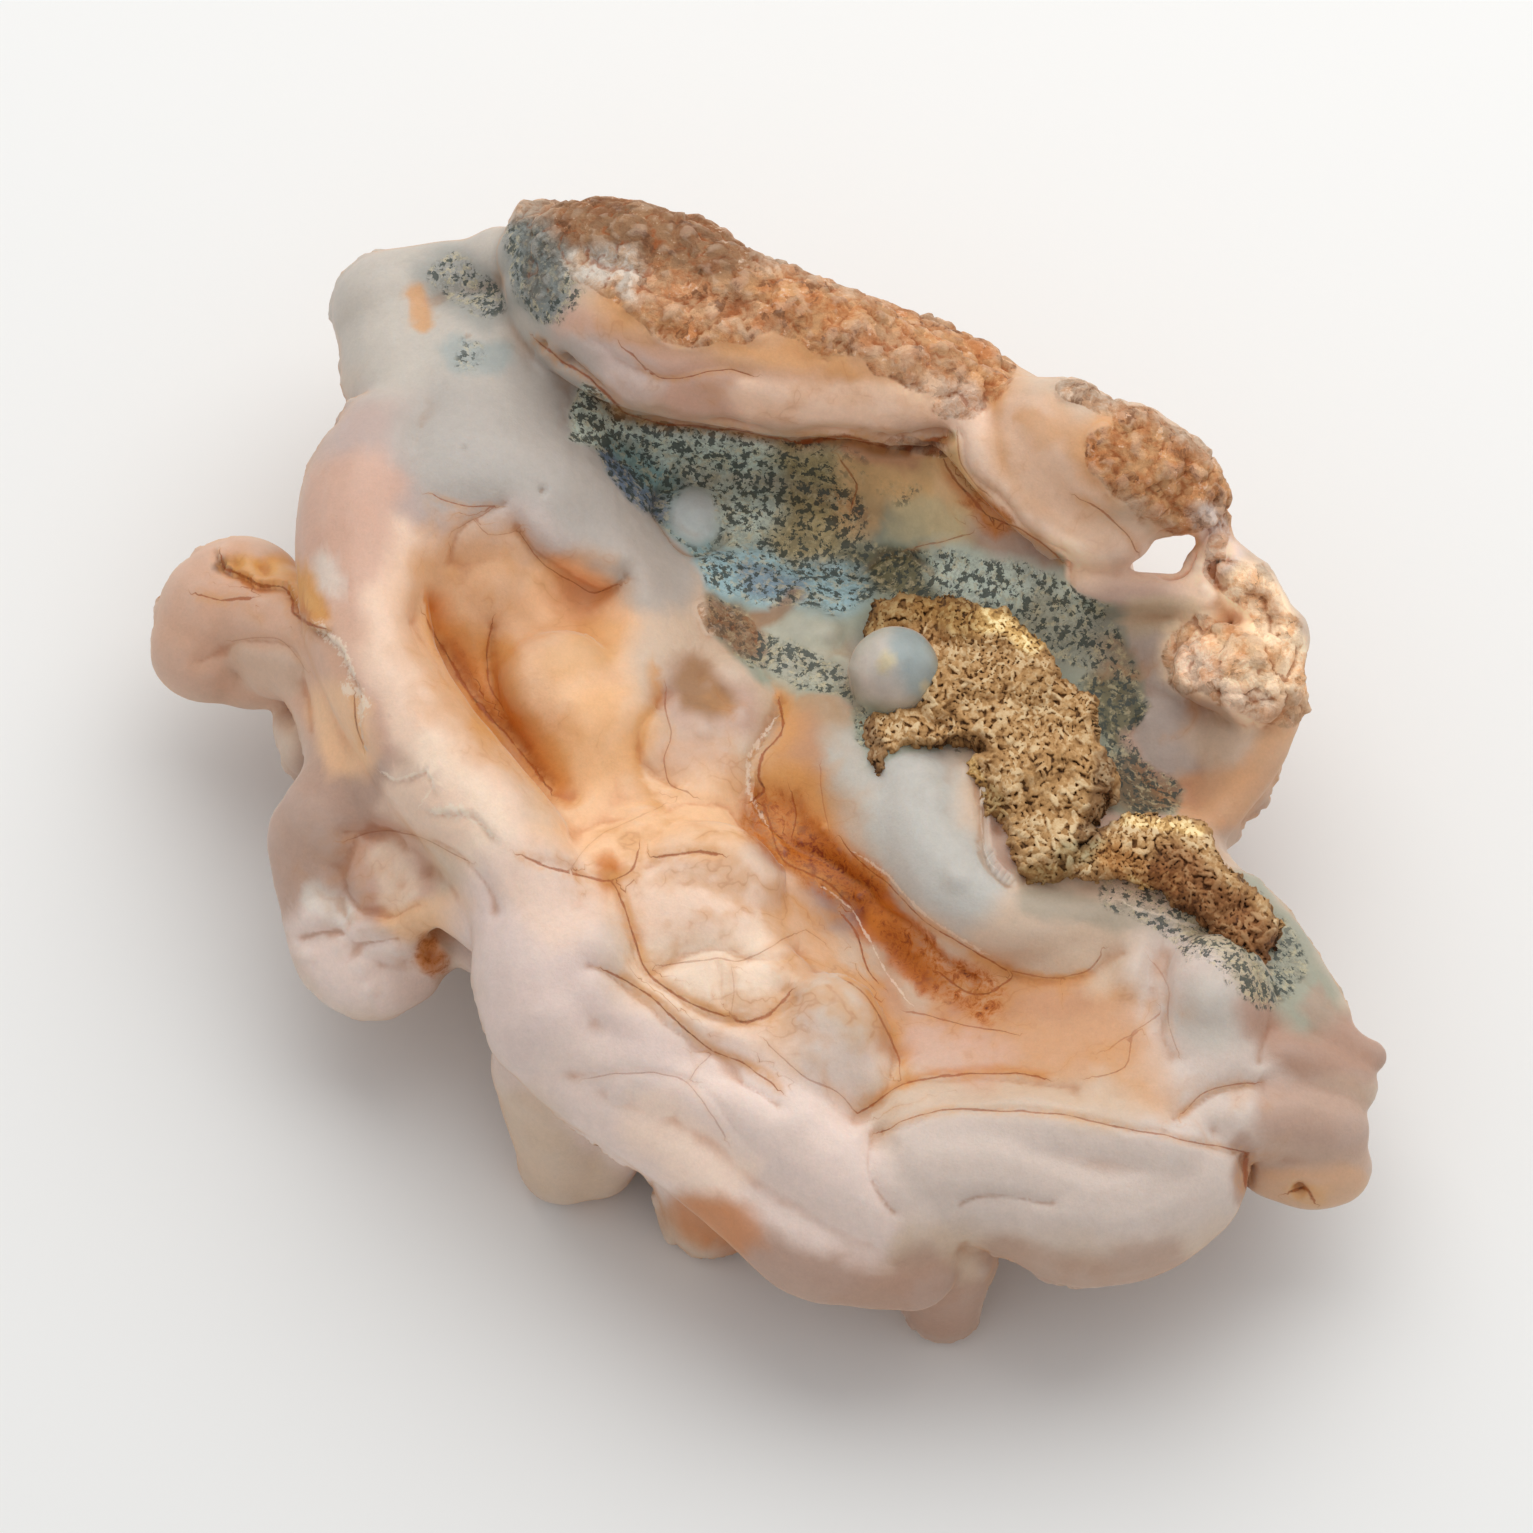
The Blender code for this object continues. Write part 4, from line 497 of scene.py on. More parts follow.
# Where the stone has which colour, laid on in this order: (colour, strength, reach, the line on the drawing).
TINTS = [
    # left: lobe, plateau, rim and flank
    ("putty", 1, 9, [(38, 31), (47, 29), (50, 37), (42, 40)]),
    ("petal", 1, 6, [(37, 45), (42, 46), (40, 53)]),
    ("haze", 1, 7, [(46, 44), (50, 48), (57, 45), (56, 50)]),
    ("rose", 0.6, 4, [(48, 54), (54, 54), (60, 55)]),
    ("blush", 1, 5, [(34, 50), (32, 58), (33, 66), (36, 74)]),
    ("cream", 1, 4.5, [(40, 56), (40, 64), (43, 72), (47, 79), (51, 86)]),
    ("ivory", 0.8, 3, [(44, 76), (48, 82), (51, 87)]),
    ("blush", 0.9, 4, [(36.5, 49), (35, 56)]),
    # knobs
    ("flesh", 1, 7, [(22, 59), (20, 64), (30, 66)]),
    ("sand", 0.5, 2.6, [(25, 66.5), (29, 68)]),
    ("dusk", 1, 7, [(34, 80), (30, 84), (32, 90)]),
    ("shell", 1, 4.5, [(33, 93), (35, 96.5), (40, 97.4)]),
    ("blush", 1, 4, [(38.5, 86), (40, 89)]), ("chalk", 0.6, 1.6, [(31.6, 89), (34, 91)]),
    ("peach", 0.9, 3, [(34, 71), (35, 75)]),
    ("cream", 0.9, 3, [(41, 80), (45, 82)]),
    ("peach", 0.9, 2.6, [(41, 92), (46, 91)]), ("ivory", 0.8, 2.2, [(39, 86), (40, 88.4)]),
    ("amber", 0.8, 1.6, [(43.3, 95.3)]),
    # basin
    ("tan", 1, 8, [(47, 60), (50, 68), (58, 74), (62, 62)]),
    ("peach", 1, 6, [(56, 69.5)]),
    ("coral", 0.9, 5, [(61, 73), (59, 77)]),
    ("peach", 1, 3.6, [(56, 59.5), (61, 61)]),
    ("honey", 0.8, 2.4, [(46, 64), (48.4, 68), (51.4, 72), (55, 76.6)]),
    ("honey", 0.8, 2.4, [(50, 66), (50, 72)]),
    ("peach", 0.8, 4.4, [(64, 62), (65, 67)]),
    ("brass", 0.5, 2.4, [(56, 66), (60, 64)]),
    # milky pillows, slab and channel
    ("sand", 1, 6, [(68, 66), (73, 70), (74, 77), (70, 80)]),
    ("lilac", 1, 3.6, [(69, 69.5), (73, 71)]),
    ("bark", 1, 2.6, [(69.4, 68.4), (71.4, 70)]),
    ("blush", 0.6, 3, [(68.5, 76), (71, 77)]),
    ("cream", 0.8, 3.6, [(68, 81), (73, 82)]),
    ("taupe", 1, 5.5, [(81, 73), (84, 76)]),
    ("glass", 1, 4.5, [(86, 76), (90, 82), (92, 87), (96, 91)]),
    ("clay", 0.8, 3, [(79.6, 73.6), (79.6, 77)]),
    ("honey", 0.9, 3.4, [(79, 79.4), (81, 83)]),
    ("amber", 0.9, 3, [(78, 82), (82, 85.5), (86, 89)]),
    ("burnt", 1, 3, [(76, 81.5), (79, 85), (84, 88), (88, 91.5)]),
    ("russet", 1, 2.4, [(77.6, 82), (82, 86.4), (86, 89.4)]),
    ("amber", 1, 2.7, [(88.5, 92), (92, 96), (97.5, 99)]),
    ("burnt", 0.9, 1.5, [(89, 93.4), (93, 97.6), (97, 99.6)]),
    # centre pillows
    ("peach", 1, 6, [(58, 86), (64, 83.5), (70, 83)]),
    ("cream", 1, 5.4, [(67, 90), (72, 90), (76, 92)]),
    ("amber", 1, 2, [(61.2, 87.2)]), ("burnt", 0.6, 0.9, [(61.2, 87.4)]),
    ("ivory", 0.9, 5, [(67, 99), (73, 98), (78, 96)]),
    ("cream", 1, 5, [(84, 104), (80, 108), (74, 105)]),
    ("mist", 0.8, 4, [(82, 101), (84, 106)]),
    ("sand", 0.9, 3.4, [(83, 97), (86, 101)]),
    ("plum", 0.7, 2.2, [(81, 90), (83, 91.5)]),
    ("tan", 0.8, 3, [(79, 91), (81, 95)]),
    ("clay", 0.7, 2.2, [(88, 100), (90, 104)]),
    # front rolls and legs
    ("mauve", 1, 8, [(53, 92), (54, 100), (58, 106), (66, 109), (74, 116), (82, 120)]),
    ("cream", 0.6, 4, [(53, 88), (56, 91)]),
    ("shell", 1, 5, [(58, 107), (64, 112), (70, 116), (76, 121), (84, 124)]),
    ("warm white", 0.4, 4, [(66, 112), (72, 116)]),
    ("shell", 1, 5, [(72, 108), (76, 111), (82, 113)]),
    ("shell", 0.9, 4, [(84, 117), (88, 119)]),
    ("mist", 1, 7, [(94, 116), (103, 117), (112, 118), (119, 116)]),
    ("sand", 0.7, 2.6, [(90, 109.4), (96, 108.6), (104, 109), (112, 110.5)]),
    ("shade", 0.9, 4, [(76, 126), (84, 129), (92, 130), (97, 131)]),
    ("sand", 0.9, 4, [(52, 112), (55, 117)]), ("clay", 0.7, 3, [(69, 121), (72, 122)]),
    ("amber", 0.6, 3, [(70, 121.5), (73, 122.5)]),
    ("shade", 0.8, 3.4, [(92, 127), (94, 131)]),
    ("shade", 0.7, 3, [(100, 125.6), (108, 127.8), (116, 126)]),
    # terrace, saddle, right dome and arms
    ("sand", 1, 5, [(96, 92), (104, 94), (112, 93)]),
    ("frost", 1, 5, [(91.6, 78), (92, 84), (96, 88)]),
    ("dusk", 0.9, 1.3, [(100, 82), (100.4, 86)]),
    ("storm", 0.55, 1.6, [(103, 90), (110, 91.5), (118, 93)]),
    ("tan", 1, 5, [(98, 101), (104, 103), (112, 103), (116, 106)]),
    ("clay", 0.5, 4, [(98, 101), (104, 103), (111, 103)]),
    ("blush", 0.8, 3.5, [(93, 104), (98, 105.5)]),
    ("clay", 0.7, 2.4, [(102, 99.5), (107, 100)]),
    ("mist", 1, 7, [(119, 98), (121, 104), (124, 107)]),
    ("putty", 0.8, 4, [(120.4, 101)]),
    ("shade", 1, 4, [(127, 101), (130, 104.4), (136, 105)]),
    ("dusk", 0.9, 3.4, [(128, 110.5), (134, 112)]),
    ("dusk", 0.7, 3.6, [(128, 114), (134, 115)]),
    ("tan", 0.8, 2.6, [(126, 118.6), (134, 119)]),
    ("brass", 0.5, 1.2, [(129, 118.8), (131, 119.4)]),
    # painted shade in the gap by the low foot of the arms
    ("shade", 0.8, 1.6, [(123.8, 114.6), (124.2, 119)]),
    # ridge, trailing roll, far lump, ledge and chain
    ("blush", 1, 3.6, [(58, 33.5), (62, 36.4), (68, 38.6), (78, 39.6), (88, 40.6), (95, 40.4)]),
    ("rock", 1, 5.5, [(64, 29), (72, 31), (82, 33), (92, 36), (97, 37.6)]),
    ("bark", 1, 4.5, [(58, 21.5), (65, 22.5), (72, 25)]),
    ("lichen", 1, 3.2, [(53, 24), (54.5, 29.5)]),
    ("chalk", 0.8, 2.2, [(58, 26.6), (62, 26.4), (63.5, 28.5)]),
    ("tan", 0.8, 2.6, [(66, 29.6), (71, 31), (77, 32.5)]),
    ("tan", 0.8, 3, [(86, 34.5), (94, 38)]),
    ("rose", 0.8, 2.6, [(59, 35.6), (64, 38.4)]),
    ("warm white", 0.6, 2.6, [(75, 39.6), (84, 41), (93, 40.6)]),
    ("cream", 0.9, 2.6, [(96, 41), (98, 45.5), (102, 50), (107, 53.4), (113, 55)]),
    ("tan", 1, 5, [(103, 44), (107, 48.5)]),
    ("cream", 0.6, 3, [(102.4, 42), (104, 47), (108, 50.4)]),
    ("rock", 1, 4.6, [(112, 45), (117, 48), (121, 51)]),
    ("honey", 0.5, 1.6, [(103, 42), (104.4, 43.4)]),
    ("warm white", 1, 2.8, [(106.6, 55.8), (110, 59), (119, 59.6)]),
    ("tan", 1, 3, [(121.6, 59), (124, 63)]),
    ("shell", 1, 1.8, [(120.6, 51.6), (121.4, 53.8), (122.6, 55.6)]),
    ("warm white", 1, 1.8, [(121.6, 55.2), (119.8, 57), (120, 59)]),
    ("bright", 1, 2.4, [(124.6, 58.6), (126.6, 61), (128.4, 65)]),
    ("peach", 0.8, 1, [(125.6, 59.6), (127, 61.6)]),
    # right bowl
    ("dusk", 1, 8, [(112, 64), (118, 70), (114, 77), (121, 77)]),
    ("haze", 0.6, 3.4, [(114, 66), (116, 72), (117, 76)]),
    ("sand", 0.9, 3.4, [(122, 74), (126, 74)]), ("tan", 0.8, 3, [(119, 80), (123, 79)]),
    ("straw", 0.4, 2, [(114, 62), (119, 62)]),
    ("bright", 1, 4.4, [(120, 65.6), (124, 67), (129, 69.6)]),
    ("honey", 0.5, 1.6, [(122, 63.6), (126.6, 66)]),
    ("warm white", 0.9, 2, [(118.6, 66), (120.6, 68)]), ("warm white", 0.8, 1.6, [(123, 70), (126, 71)]),
    ("tan", 0.9, 2.4, [(129, 71), (126.6, 76), (122.5, 81)]),
    # left wall of the cavity
    ("haze", 0.9, 5, [(55, 38), (56, 43), (60, 50), (66, 57)]),
    # grey flank beside the crust
    ("khaki", 0.6, 2, [(119, 91.6), (123, 95), (126, 98)]),
    ("reed", 1, 3.4, [(124.6, 90), (128.6, 94.6), (130.8, 100)]),
    ("shade", 0.6, 1.6, [(131, 100), (133, 103)]),
    # stains at the top left
    ("lichen", 0.6, 3.2, [(44.5, 27), (48.4, 30)]),
    ("honey", 0.7, 1.4, [(41.8, 29.4), (42, 32)]),
    ("slate", 0.6, 1.8, [(45.6, 35.5), (49.6, 35.8)]),
    # stained folds
    ("brass", 1, 1.7, [(25.4, 57), (28.6, 57.2)]), ("amber", 0.8, 0.9, [(25, 58), (29.2, 58.4)]),
    ("honey", 1, 1.5, [(30.2, 58.8), (31.6, 61.2)]), ("burnt", 0.7, 0.8, [(29.8, 60), (30.6, 61.8)]),
    ("chalk", 0.6, 1.8, [(32.2, 56.8), (33.2, 58)]), ("umber", 0.8, 0.9, [(22.6, 56.4), (23.8, 56.8)]),
    ("umber", 0.5, 0.7, [(79.3, 79.6)]),
]

# Stains that stop at a crack, and painted shadow under the ridge's lip, on the left of the line as it runs:
# (colour, strength, reach, line).
EDGES = [
    ("amber", 0.95, 3.6, [
        (42.8, 61.4), (43.5, 63.4), (45.6, 67), (47.3, 69.6), (50.3, 73), (53, 76.3), (55, 78.8),
    ]),
    ("russet", 0.6, 1.8, [(44.4, 65), (45.6, 67), (47.3, 69.6), (50.3, 73), (53, 76.3), (54.4, 78)]),
    ("honey", 0.7, 2, [(66, 80), (64.4, 77), (65, 73), (66.4, 70), (66, 67)]),
    ("honey", 0.3, 2.2, [(61.8, 58.5), (59, 59.3), (54.3, 56.4), (51.9, 53.2)]),
    ("honey", 0.8, 3, [(77.8, 70.3), (78.3, 73.1), (76.3, 75.4), (75.9, 77.7), (76.5, 79), (77.4, 82)]),
    ("brass", 1, 2.2, [(23.6, 57), (24.4, 57.6), (26.1, 58.5), (28.5, 58.8), (29.4, 59.6), (31, 61)]),
    ("amber", 0.9, 1, [(24.4, 57.6), (26.1, 58.5), (28.5, 58.8), (29.4, 60.2), (31, 62.4)]),
    ("honey", 0.7, 1.4, [
        (61.2, 88), (62.5, 90.4), (63.8, 94.7), (64.8, 97), (66.3, 98.3), (69.4, 100.3), (73, 101.6),
    ]),
    ("honey", 0.6, 1.4, [(62.8, 98), (65.8, 100), (68.9, 103), (71.4, 104.9), (75.8, 107), (77.6, 108.5)]),
    ("honey", 0.6, 1.6, [(84.7, 98), (86.5, 99.3), (88.3, 102.4), (89.6, 105), (90, 107.6)]),
    ("amber", 0.7, 1.2, [(87.5, 110), (90, 108.2), (94, 107.4), (100.5, 107), (104, 107.4)]),
    ("honey", 0.8, 1.6, [(108.2, 97.1), (104.6, 97.6), (100.5, 96.8), (97.7, 95.3)]),
    # the umber strokes along the ridge's lower lip are painted shadow cast by the lip
    ("umber", 0.7, 1.4, [(94.2, 43.9), (90.4, 44.6), (87.8, 44.6), (84.6, 43.7), (80, 44)]),
    ("umber", 0.6, 0.9, [(78.8, 44), (74.4, 43.2), (69.2, 42.6), (65.4, 42.2), (62.2, 41.1), (59.8, 39.4)]),
    ("amber", 0.7, 1.6, [(99.6, 52.6), (97.2, 50), (95.2, 47.6)]),
]

# The dark cavity under the ridge, round the crust: its outline, and its own colours as above, with painted
# shadow beside the crust's right wall.
CAVITY = [
    (58.4, 38.4), (60.2, 39.4), (62.2, 41.1), (65.4, 42.2), (69.2, 42.6), (74.4, 43.2), (78.8, 44),
    (84.6, 43.7), (87.8, 44.6), (90.4, 44.6), (94.2, 43.9), (95.4, 43.2), (95.8, 45), (96.2, 46.8),
    (98.5, 49.5), (101.3, 52.4), (104.9, 54.8), (106.4, 55.6), (106.5, 57.6), (107.6, 59.2), (109.8, 60.2),
    (112, 60.6), (112.5, 63), (113.6, 66), (114.4, 68.4), (114.6, 71), (113, 73.4), (114, 76), (116.6, 77.4),
    (118.4, 79.2), (117.4, 81.6), (112, 81.6), (100, 76), (97.7, 73.4), (94, 75), (90, 75.4), (87, 77),
    (85.6, 73.6), (85.4, 70.4), (84, 69.4), (79, 69.4), (76, 68.4), (74.4, 66.4), (71.6, 64.2), (70.4, 62.4),
    (70.6, 60), (70.4, 57.6), (69.2, 55.4), (67, 53.6), (65.2, 51.6), (62.8, 49.8), (60.6, 47.4),
    (59.4, 44.8), (57, 44), (57.2, 41),
]
CAVITY_TINTS = [
    ("stone", 1, 9, [(62, 43), (68, 45), (76, 47)]),
    ("teal", 0.9, 3, [(62, 46.5), (66, 50), (69, 54)]),
    ("indigo", 0.8, 1.5, [(60.8, 46.4), (63, 48.8), (65.4, 51)]),
    ("khaki", 1, 4, [(81, 46), (82, 51), (81, 54)]), ("hay", 0.7, 2.4, [(86, 48), (86, 52)]),
    ("hay", 1, 4.6, [(88.6, 46), (94, 47.6), (96, 50.4)]),
    ("straw", 0.8, 2.4, [(91, 51.6), (95, 53)]),
    ("dusk", 0.9, 3, [(99.4, 52.4), (103, 56)]),
    ("amber", 0.7, 1.3, [(97.8, 49.8), (99.6, 52)]),
    ("clay", 0.8, 1.1, [(85, 45), (90, 45.8), (94, 45)]),
    ("sky", 1, 3.1, [(69.4, 51.4)]),
    ("pine", 1, 2.6, [(85.6, 57.4), (89, 56.6), (92.6, 58.4)]),
    ("stone", 0.9, 3, [(95, 57), (101, 58.5), (106, 60)]),
    ("ice", 1, 3, [(72, 57), (77, 58), (84, 59.4)]),
    ("indigo", 0.5, 1.3, [(75, 57.8), (79.6, 58.6)]),
    ("celadon", 1, 4, [(78, 64.5), (82.5, 65.5)]),
    ("bark", 0.8, 0.9, [(74.6, 62.2), (80, 59.8)]),
    ("bark", 0.9, 2, [(71.4, 61.8), (74.6, 63.8)]),
    ("reed", 1, 3.4, [(104.6, 61.6), (108, 65)]),
    ("storm", 1, 2.8, [(110.4, 63), (112, 67)]),
    ("pine", 1, 2.6, [(110, 70), (113, 72.4)]),
    ("dusk", 1, 2, [(114, 74), (116, 76)]),
    # the smoke and bark strokes here are painted shadow, cast by the crust's right wall on the cavity floor
    ("painted shadow brown", 0.9, 2.6, [(111.6, 77.6), (114.6, 80.4)]),
    ("bark", 0.7, 1.4, [(114, 76.6), (117, 79.6)]),
    ("putty", 1, 4.2, [(89.3, 67)]), ("slate", 0.9, 2.4, [(91, 64.8), (92.4, 67.4)]),
    ("straw", 0.9, 1.1, [(88.4, 66.2)]), ("straw", 0.8, 0.9, [(93, 68.8)]),
]

# Where dark and pale specks lie close together, or few where negative: (strength, reach, line).
SPECKS = [
    (0.6, 3.2, [(53, 24), (55, 30)]), (0.55, 2.4, [(45, 27), (48.5, 30)]), (0.4, 2, [(47, 35.6)]),
    (0.8, 2.6, [(112, 89), (117, 91.4), (121, 94), (126.5, 98)]), (0.7, 1.2, [(96, 74.2), (98, 73.6)]),
    (0.5, 2, [(126, 91), (129, 96)]),
]
CAVITY_SPECKS = [
    (1, 6, [(60.5, 42), (64, 47), (67.5, 50.5)]), (1, 6, [(66, 45.5), (72, 48), (78, 49), (81, 53)]),
    (0.8, 3.5, [(83, 55), (88, 57.4), (93, 58.5)]), (0.9, 3.2, [(94, 58), (101, 59), (107, 61)]),
    (0.8, 2.6, [(105, 62), (108, 65)]), (0.5, 2.4, [(110, 64), (112, 67)]),
    (1, 2.8, [(109.5, 70), (113, 72)]),
    (1, 3, [(111.6, 76), (115.6, 79.6)]), (0.3, 2, [(84, 46), (90, 49)]),
    (0.7, 2.6, [(72, 57), (78, 58), (84, 59.6)]),
    (0.7, 2, [(71.6, 61.6), (76, 65), (84.6, 68.6), (86, 73)]), (-1, 3.2, [(69.4, 51.6)]),
    (-0.9, 4.9, [(89.3, 67)]),
]

# Where the outside is a rough, dull rind: (strength, reach, line).
RINDS = [
    (1, 5, [(56, 22), (63, 23), (70, 26), (77, 29), (84, 31), (92, 35), (97, 37)]),
    (1, 2.6, [(59, 26), (64, 29.6), (68, 32), (74, 32.6)]),
    (0.7, 2.4, [(54, 23), (54.5, 28)]),
    (0.8, 1.2, [(107, 38.6), (112, 41)]), (1, 3, [(114, 43.6), (118, 46.6), (121, 50)]),
    (1, 3.6, [(112, 46), (115, 48), (118, 50)]),
    (0.9, 1.3, [(121, 52), (122, 54.6), (121, 57.4)]), (0.9, 2.4, [(124, 57.6), (126.4, 60.6), (128, 64)]),
    (1, 4.2, [(120, 65.6), (124, 67), (129, 69)]),
    (0.7, 1.2, [(90, 45), (94, 45)]),
    (1, 1.9, [(71.4, 61.8), (74.6, 63.8)]),
]

# The inside of the basin, which has no rind: (strength, reach, line).
BASIN = [(1, 9, [(47, 60), (52, 72)]), (1, 7, [(70, 70), (80, 80)])]

# Where iron has stained the stone: (strength, reach, line).
RUSTS = [
    (1, 2.8, [(77, 82), (81, 85.5), (86, 88.5)]),
    (1, 2.4, [(89, 93), (93, 97), (98, 99.4)]),
    (0.4, 1.2, [(45, 64.6), (47.8, 68.4), (51.2, 72.4)]),
    (0.7, 0.9, [(75.4, 80), (77, 83), (79, 86)]),
    (0.6, 1, [(79.3, 79.5)]),
    (0.6, 1.3, [(97.5, 50.4), (100, 52)]),
    (0.7, 1.4, [(42.8, 94.6), (43.8, 95.8)]),
]

# Where fine stained veins run through the stone: (strength, reach, line).
VEINS = [
    (1, 6, [(60, 85), (68, 86), (76, 90)]), (1, 6, [(66, 95), (74, 98), (82, 100), (86, 105)]),
    (0.9, 5, [(74, 81), (80, 88), (88, 96), (98, 101)]), (0.7, 6, [(98, 103), (106, 102), (114, 104)]),
    (0.7, 5, [(45, 54), (50, 58), (60, 60)]), (0.6, 6, [(46, 66), (52, 74), (60, 78), (68, 80)]),
    (0.8, 4, [(70, 72), (76, 75)]), (0.6, 3, [(24, 57), (30, 62)]), (0.5, 5, [(34, 86), (40, 94)]),
    (0.5, 4, [(96, 45), (102, 50), (108, 54)]), (0.6, 5, [(62, 34), (76, 39), (92, 41)]),
    (0.6, 4, [(112, 66), (118, 72)]), (0.5, 4, [(115, 108), (125, 112)]), (0.5, 4, [(80, 75), (84, 80)]),
]

# Small rises and hollows: (across, down, reach, height).
BUMPS = [
    (86, 89.4, 0.9, 0.5), (95.9, 99.4, 0.9, 0.5), (91.4, 95, 0.8, 0.35), (80, 84, 0.7, 0.3),
    (82.4, 82.8, 0.7, 0.3), (32, 91.6, 2.2, 0.8), (34.5, 94.6, 1.8, 0.6), (37.6, 92.6, 1.9, 0.7),
    (36.6, 96.4, 1.9, 0.6), (33, 88, 1.8, 0.5), (43.5, 95.5, 1.5, -0.8), (23.2, 56.4, 1.8, -1.2),
    (26.6, 57, 1.4, -0.6), (117, 55.4, 3, -2.8), (129.5, 118.7, 1.1, -1.4), (46.5, 44.8, 0.5, -0.3),
    (54.4, 49.1, 0.7, -0.4), (46.8, 33.5, 0.5, -0.3), (88, 44.4, 1, -1), (90.6, 44.8, 0.9, -0.9),
    (93, 45.2, 0.9, -0.8), (54, 34.6, 1, -0.8), (56.2, 36.2, 1, -0.8), (64, 24, 1.6, 0.7),
    (69, 23.6, 1.4, 0.6), (66.5, 27.5, 1.5, 0.5), (74, 28.6, 1.8, 0.6), (80, 31, 2, 0.6), (86, 33, 2, 0.5),
    (91, 35.6, 1.8, 0.6), (63.5, 30.5, 1.6, 0.6), (67.5, 31.8, 1.5, 0.7), (71.5, 31.4, 1.6, 0.6),
    (75.5, 33.6, 1.5, 0.5), (60, 24.4, 1.5, 0.5), (113, 44.6, 1.8, 0.6), (116.6, 47.6, 1.8, 0.6),
    (119.6, 50.6, 1.4, 0.5), (110, 43.6, 1.6, 0.5), (78.4, 66.6, 2.2, 0.5), (82.8, 63.4, 2, 0.5),
    (84, 67, 1.8, 0.5), (67.5, 70.5, 1.6, 0.5), (71, 68.6, 1.5, 0.4), (74, 71.6, 1.6, 0.5),
    (70.4, 73.2, 1.4, 0.4), (93.4, 79.4, 2, 0.4), (95.6, 87.6, 2, 0.5), (120.6, 99.6, 3, 0.5),
    (96.4, 77, 1.2, 0.5), (99.4, 82.6, 1.6, -0.5), (37, 99, 1.3, 0.4), (31, 95.6, 1.3, 0.4),
    (120.6, 51.8, 1.2, 0.7), (121.6, 54, 1.1, 0.7), (119.8, 56.6, 1.1, 0.6), (120.2, 58.8, 1.1, 0.5),
    (62, 109, 1.6, 0.3), (98, 126.4, 1.8, 0.4), (108, 127.4, 2, 0.4),
]

# Edges where one side of the surface stands higher, on the left of the line: (reach, height, line).
STEPS = [
    (2.6, 0.5, [(32.4, 62.9), (34.6, 65.1), (35.6, 67.5), (36.5, 69.4), (36.3, 72.6), (36.5, 74.5)]),
    (1.8, 0.35, [(38.7, 77.4), (40.2, 77.9), (42.8, 77), (43.6, 78.4)]),
    (1.8, 0.4, [(43.6, 80.9), (47.3, 81.4), (49.6, 83.5)]),
    (2.4, 0.5, [(77.8, 70.6), (76.6, 74.3), (75, 78), (75.4, 80.6), (77.6, 84.4)]),
    (1.5, 1.1, [(98, 78.6), (98.2, 84.3), (99, 86.4), (100.3, 87.8)]),
    (1.6, 0.9, [
        (22.2, 56), (23.5, 57.2), (26.1, 58.5), (28.5, 58.8), (29.4, 60.2), (31, 62.4), (32.4, 62.9),
    ]),
    (1.6, 0.3, [(119, 92), (124, 94), (128, 99)]),
]

# The sandy crust: (across, down, height, half width, half length, half depth, turn in degrees).
CRUST = [
    (92, 62.5, 25.5, 6.5, 3.6, 3, 0), (99.5, 63, 27, 6, 4, 3.2, -10), (104, 67, 27.5, 5.6, 5, 3.4, 0),
    (97, 68.5, 27, 6, 5, 3.4, 0), (91, 73.5, 26.5, 5, 3, 3, -10), (100, 73.5, 27.5, 6, 4.5, 3.4, -20),
    (107, 72.5, 27.5, 4.6, 5, 3.4, 0), (104.5, 78.5, 29, 6, 5.5, 4, 0), (110, 77, 27.5, 3.6, 4, 3, 0),
    (104.3, 84, 30, 4.2, 4, 3.6, 0), (109.5, 85.5, 30, 4, 2.6, 3, 0), (114.5, 85, 29.5, 5.2, 3.8, 3.6, 0),
    (119.5, 87.5, 29, 5, 4.2, 3.6, -40), (123.5, 92, 27.5, 4.2, 4.2, 3.4, -50),
    (126, 95, 25.5, 2.4, 2.6, 2.4, 0),
]

# The outline of the crust on the drawing, and its own colours as above, with strokes of painted highlight
# along some of its edges.
CRUST_EDGE = [
    (86.2, 63.1), (87.2, 60.5), (89.7, 59.4), (92.6, 59.6), (95.5, 60), (98, 60.5), (100.6, 61.1),
    (103.1, 63.1), (104.4, 64.7), (105.7, 67.5), (108.2, 69.1), (109.5, 70.4), (109, 72), (109.5, 73.9),
    (110.8, 75.5), (111.4, 77.4), (110.5, 79.3), (109.5, 81.9), (108.9, 83.5), (107.8, 84.7), (110.1, 82.5),
    (112.7, 81.2), (114.6, 81.6), (117.8, 81.9), (118.4, 81.6), (120.4, 82.2), (121, 84.1), (121.9, 86.3),
    (123.9, 87.6), (126.1, 89.2), (127, 90.5), (127.7, 92.4), (127.4, 94), (126.7, 95.6), (125.8, 97.2),
    (124.5, 95.9), (122.3, 94.3), (120.7, 92.7), (118.8, 90.8), (116.5, 89.8), (114.6, 88.6), (112.4, 88.4),
    (110.1, 87.9), (107.6, 88.1), (105.7, 88.4), (102.5, 88.6), (101.4, 87.9), (101.4, 85.7), (100.9, 82.5),
    (98.3, 81.6), (98, 79), (96.4, 77.4), (96.6, 76.1), (98, 74.9), (97.7, 73.9), (96.1, 73.6), (93.2, 74.9),
    (91.3, 74.4), (89.1, 75.8), (87.8, 77.7), (86.6, 76.1), (86.1, 74.2), (86.4, 72.3), (86.5, 67),
]
